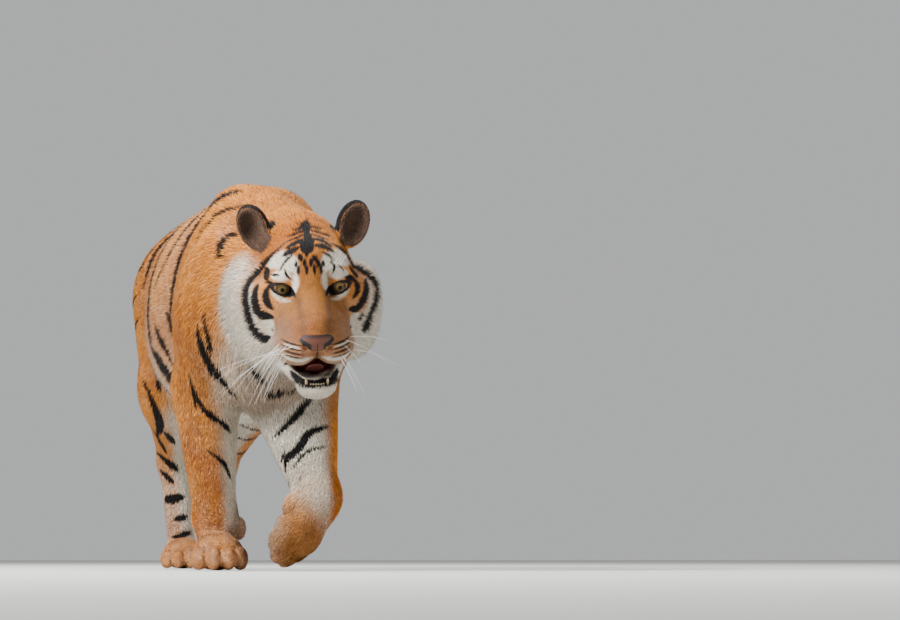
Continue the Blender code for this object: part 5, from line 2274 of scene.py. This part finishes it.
# -------- the studio
@dataclass(frozen=True)
class Studio:
    """A pale floor, soft lights, and the camera low in front of the animal."""

    shared: Shared
    angle: float = math.radians(11.7)
    rise: float = math.atan(0.082)
    distance: float = 6.4
    aside: float = 0.401
    height: float = 0.03
    lens: float = 120.0
    # Name, place, size and power of each soft light.
    lamps: tuple[tuple[str, Triple, float, float], ...] = (
        ("key", (-3.8, -2.2, 3.2), 1.6, 660), ("fill", (2.6, -4.0, 1.8), 0.7, 60),
        ("top", (-0.5, 1.2, 4.2), 3.0, 250),
    )
    aim: Triple = (0, -0.3, 0.45)  # what the lights point at
    sky: Colour = (0.84, 0.85, 0.86)
    sky_strength: float = 0.60
    floor_tones: tuple[Colour, Colour] = ((0.56, 0.56, 0.54), (0.62, 0.62, 0.60))
    floor_size: float = 14.0

    def floor(self) -> None:
        """A wide floor with a faint unevenness of tone."""
        size = self.floor_size
        corners = np.array([(-size, -size, 0), (size, -size, 0), (size, size, 0), (-size, size, 0)])
        mesh = mesh_from("floor", corners, np.array([(0, 1, 2, 3)]))
        graph = Graph("floor")
        colour = graph.mix(graph.noise(1.3, 3), *self.floor_tones)
        mesh.materials.append(graph.dress(Base_Color=colour, Roughness=0.85))
        added("floor", mesh)

    def held(self, name: str, data: bpy.types.ID, place: Vector, aim: Vector) -> Thing:
        """A light or camera.

        Args:
            name: its name.
            data: the light or camera itself.
            place: where it is.
            aim: the way it looks.

        Returns:
            The object that holds it.
        """
        holder = added(name, data)
        holder.location = place
        holder.rotation_euler = aim.to_track_quat("-Z", "Y").to_euler()
        return holder

    def lights(self) -> None:
        """A soft key high in front, a fill, one from behind, and a pale sky."""
        world = bpy.data.worlds.new("studio")
        world.use_nodes = True
        background = world.node_tree.nodes["Background"]
        background.inputs["Color"].default_value = (*self.sky, 1)
        background.inputs["Strength"].default_value = self.sky_strength
        bpy.context.scene.world = world
        for name, place, size, power in self.lamps:
            light = bpy.data.lights.new(name, "AREA")
            light.energy = power
            light.size = size
            self.held(name, light, Vector(place), Vector(self.aim) - Vector(place))

    def camera(self) -> None:
        """The camera at the viewing angle."""
        ahead = Vector((math.sin(self.angle), math.cos(self.angle), 0))
        right = Vector((math.cos(self.angle), -math.sin(self.angle), 0))
        place = -ahead * self.distance + right * self.aside + self.shared.shift
        place.z = self.height
        data = bpy.data.cameras.new("camera")
        data.lens = self.lens
        aim = ahead * math.cos(self.rise) + Vector((0, 0, math.sin(self.rise)))
        bpy.context.scene.camera = self.held("camera", data, place, aim)


# -------- the whole
def all_flesh(head: Head) -> Flesh:
    """Every mass in the order that it joins the ones before it."""
    body = [mass for part in (Trunk(), Tail(), *LEGS) for mass in part.masses()]
    return Flesh([*body, *head.masses()], head.hollows())


def main() -> None:
    """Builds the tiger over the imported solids."""
    logging.basicConfig(level=logging.INFO, format="%(relativeCreated)7.0f %(message)s")
    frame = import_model()
    head = Head()
    shared = Shared.found(head)
    flesh = all_flesh(head)
    skin = Skin(flesh, head)
    body = skin.build()
    log.info("skin built: %d faces", len(body.data.polygons))
    skin.unwrap(body)
    markings = Markings(flesh, head)
    skin.dress(body, markings)
    log.info("skin marked")
    fur = Coat(flesh, markings).build(body.data)
    nodes = [row["node"] for row in frame["record"]["subparts"] if row["material_slot"] == "coat"]
    finish = CoatFinish()
    shared.deliver(body, "coat", finish.material("skin", under=True), nodes)
    coat = finish.material("coat", under=False)
    for piece in fur:
        shared.deliver(piece, "coat", coat)
    eye = EyeFinish().material("eye")
    for side in Side:
        shared.deliver(Eye(side, head).build(), "eye", eye, [f"eye_{side.label}"])
    shared.deliver(Nose(flesh).build(), "nose", NOSE_LEATHER.material("nose"), ["nose"])
    mouth = Mouth()
    shared.deliver(mouth.tongue(), "mouth", TONGUE_SKIN.material("tongue"), ["tongue"])
    shared.deliver(mouth.teeth(), "tooth", ENAMEL.material("tooth"))
    shared.deliver(Whiskers(flesh).build(), "whisker", WHISKER_HAIR.material("whisker"))
    studio = Studio(shared)
    studio.floor()
    studio.lights()
    studio.camera()


if __name__ == "__main__":
    main()
